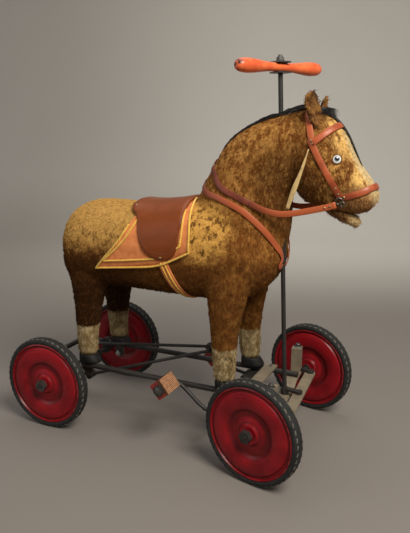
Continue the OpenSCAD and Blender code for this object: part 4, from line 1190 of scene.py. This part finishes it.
HEAD_TOP, CLAMP_BOLT_Y, CLAMP_BOLT_Z = 167.8, 55, 101
caps, bolts = [], []
for side, word in WORDS.items():
    cap = Vector(JOINTS[f"knuckle_{word}_turn"]["pos_m"])
    cap.z = HEAD_TOP * MM
    caps += [dome_mesh(cap, UP, 0.0092, 0.003, 5, 24, 0.0012), hex_mesh(cap + UP * 0.0024, UP, 0.0062, 0.0045)]
    for shift in (-3.6, 3.6):
        rivet = at(FRONT_LEGS + 48, side * (RAIL_Y + 0.01) + shift, RAIL_TOP + 4)
        caps.append(dome_mesh(rivet, UP, 0.003, 0.0018, skirt=0.0005))
    bolt, inward = at(REAR_LEGS, side * CLAMP_BOLT_Y, CLAMP_BOLT_Z), Vector((0, -side, 0))
    bolts += [dome_mesh(bolt, inward, 0.0066, 0.0012, 3, 20, 0.0004), hex_mesh(bolt, inward, 0.0052, 0.004)]
piece("head_caps", caps, "bare_steel")
piece("clamp_bolts", bolts, "bare_steel", BRIGHT)


# Pedals: raised ribs along each tread, the tread between them dark with painted shade, and a nut on each
# spindle

RIBS = 12
RIB_SECTION = [(-0.00095, 0), (-0.0009, 0.0012), (-0.0005, 0.0017), (0.0005, 0.0017), (0.0009, 0.0012),
               (0.00095, 0)]
RIB_SINK, RIB_MARGIN, RIB_END = 0.0006, 0.0016, 0.0008


def tread_ribs(node, spindle):
    """Round-topped ribs along a tread, on its upper face."""
    points = [v.co for v in frame["nodes"][node].data.vertices]
    middle = sum(points, Vector()) / len(points)
    normal = Vector((middle.x - spindle.x, 0, middle.z - spindle.z)).normalized()
    across = Vector((normal.z, 0, -normal.x))
    top = max((p - spindle).dot(normal) for p in points) - RIB_SINK
    half = max((p - spindle).dot(across) for p in points) - RIB_MARGIN
    ends = min(p.y for p in points) + RIB_END, max(p.y for p in points) - RIB_END
    ribs = []
    for k in range(RIBS):
        foot = Vector((spindle.x, 0, spindle.z)) + normal * top + across * half * (2 * k / (RIBS - 1) - 1)
        ribs.append(skin_mesh([[foot + Vector((0, y, 0)) + across * u + normal * v for u, v in RIB_SECTION]
                               for y in ends]))
    return ribs


for side, word in WORDS.items():
    spindle, out = Vector(JOINTS[f"pedal_{word}_spin"]["pos_m"]), Vector((0, side, 0))
    ribs = tread_ribs(f"pedal_tread_{word}", spindle)
    piece(f"tread_ribs_{word}", ribs, "tread_rubber", RIB, f"pedal_{word}", smooth=False)
    low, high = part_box(f"pedal_arm_{word}")
    end = Vector((spindle.x, high.y if side > 0 else low.y, spindle.z))
    nut = [dome_mesh(end, out, 0.0085, 0.0012, 3, 24, 0.0004), hex_mesh(end, out, 0.0062, 0.0042)]
    for a in (math.pi / 3 * k for k in range(6)):
        peen = end + Vector((0.0078 * math.cos(a), 0, 0.0078 * math.sin(a)))
        nut.append(dome_mesh(peen, out, 0.0014, 0.0016, skirt=0.001))
    piece(f"spindle_nut_{word}", nut, "bare_steel", body=f"pedal_lever_{word}", smooth=False)


# Finishes of the part's own solids

def pairs(*names):
    return [f"{name}_{word}" for name in names for word in WORDS.values()]


FINISHES = {
    "frame_iron": ["rear_cross_bar", "axle_bearings", "pedal_bracket", "guide_tube", "column", "drop_arm",
                   "crank_axle",
                   *pairs("rail", "drive_rod", "pedal_shaft", "stub_axle", "rocker_arm", "pedal_arm")],
    "bracket_iron": ["front_cross_strip", "axle_beam", "steering_heads", "track_rod"],
    "bare_steel": ["foot_clamps", "clamp_plates", "handle_nut", "rear_hub_nuts"],
    "tyre_rubber": pairs("front_tyre", "rear_tyre"),
    "handle_wood": ["handlebar"],
    "pedal_wood": pairs("pedal_block"),
    "tread_rubber": pairs("pedal_tread"),
}
for finish, nodes in FINISHES.items():
    for node in nodes:
        paint(frame["nodes"][node], LOOKS[finish])


# Studio: grey floor curving up behind, soft lights and the photo's camera

CAMERA_TURN, CAMERA_TILT = math.radians(24.99), math.radians(76.94)


def studio_paper():
    """Grey paper, brighter behind and to the right, as the photo's light falls."""
    look = Look("studio_paper", 0.9)
    x, y, up = look.axis("X"), look.axis("Y"), look.axis("Z")
    right, depth = x * 0.906 + y * 0.422, y * 0.906 - x * 0.422
    paper = look.mix(depth.band(0.4, 2.3), (0.18, 0.157, 0.139), (0.42, 0.39, 0.35))
    paper = paper.blend((0.53, 0.5, 0.455), up.band(-0.05, 0.35)).blend((0.56, 0.53, 0.485), up.band(0.5, 1.3))
    paper = paper.blend((0.86, 0.82, 0.75), right.band(-1.2, 0.7) * depth.band(0.7, 2.3))
    return look.colour(paper.blend((0.3, 0.28, 0.25), look.noise(0.6, 2) * 0.12))


def studio_floor():
    """A sweep: flat under the horse, rising in a wide curve behind it."""
    near, far, half, radius, height, steps = -3.0, 2.2, 5.0, 1.2, 4.0, 16
    turn = Matrix.Rotation(CAMERA_TURN, 3, "Z")
    curve = [math.pi / 2 * k / steps for k in range(1, steps + 1)]
    profile = [(near, 0), (far, 0)]
    profile += [(far + radius * math.sin(a), radius - radius * math.cos(a)) for a in curve]
    profile.append((far + radius, height))
    n = len(profile)
    floor = mesh_object("studio_floor", [turn @ Vector((x, y, z)) for x in (-half, half) for y, z in profile],
                        [(i, i + n, i + n + 1, i + 1) for i in range(n - 1)])
    paint(floor, studio_paper())


def soft_light(name, place, goal, size, power, colour):
    lamp = bpy.data.lights.new(name, "AREA")
    lamp.size = size
    lamp.energy = power
    lamp.color = colour
    obj = put(name, lamp)
    obj.location = place
    obj.rotation_euler = (Vector(goal) - Vector(place)).to_track_quat("-Z", "Y").to_euler()


studio_floor()
soft_light("key", (1.3, -0.95, 1.95), (0.1, 0, 0.45), 0.9, 54, (1, 0.95, 0.86))
soft_light("fill", (-1.9, -1.6, 1.4), (0, 0, 0.35), 1.6, 8, (0.95, 0.97, 1))
soft_light("top", (-0.2, 0.5, 2.6), (0, 0, 0.3), 1.8, 18, (1, 0.98, 0.95))
world = bpy.data.worlds.new("studio_air")
world.use_nodes = True
air = world.node_tree.nodes["Background"].inputs
air["Color"].default_value = (1, 0.98, 0.95, 1)
air["Strength"].default_value = 0.24
bpy.context.scene.world = world

lens = bpy.data.cameras.new("photo_camera")
lens.lens = 40.72
lens.sensor_width = 36
camera = put("photo_camera", lens)
camera.location = at(830.6, -1122.5, 645.2)
camera.rotation_euler = (CAMERA_TILT, 0, CAMERA_TURN)
bpy.context.scene.camera = camera
bpy.context.scene.view_settings.view_transform = "Standard"
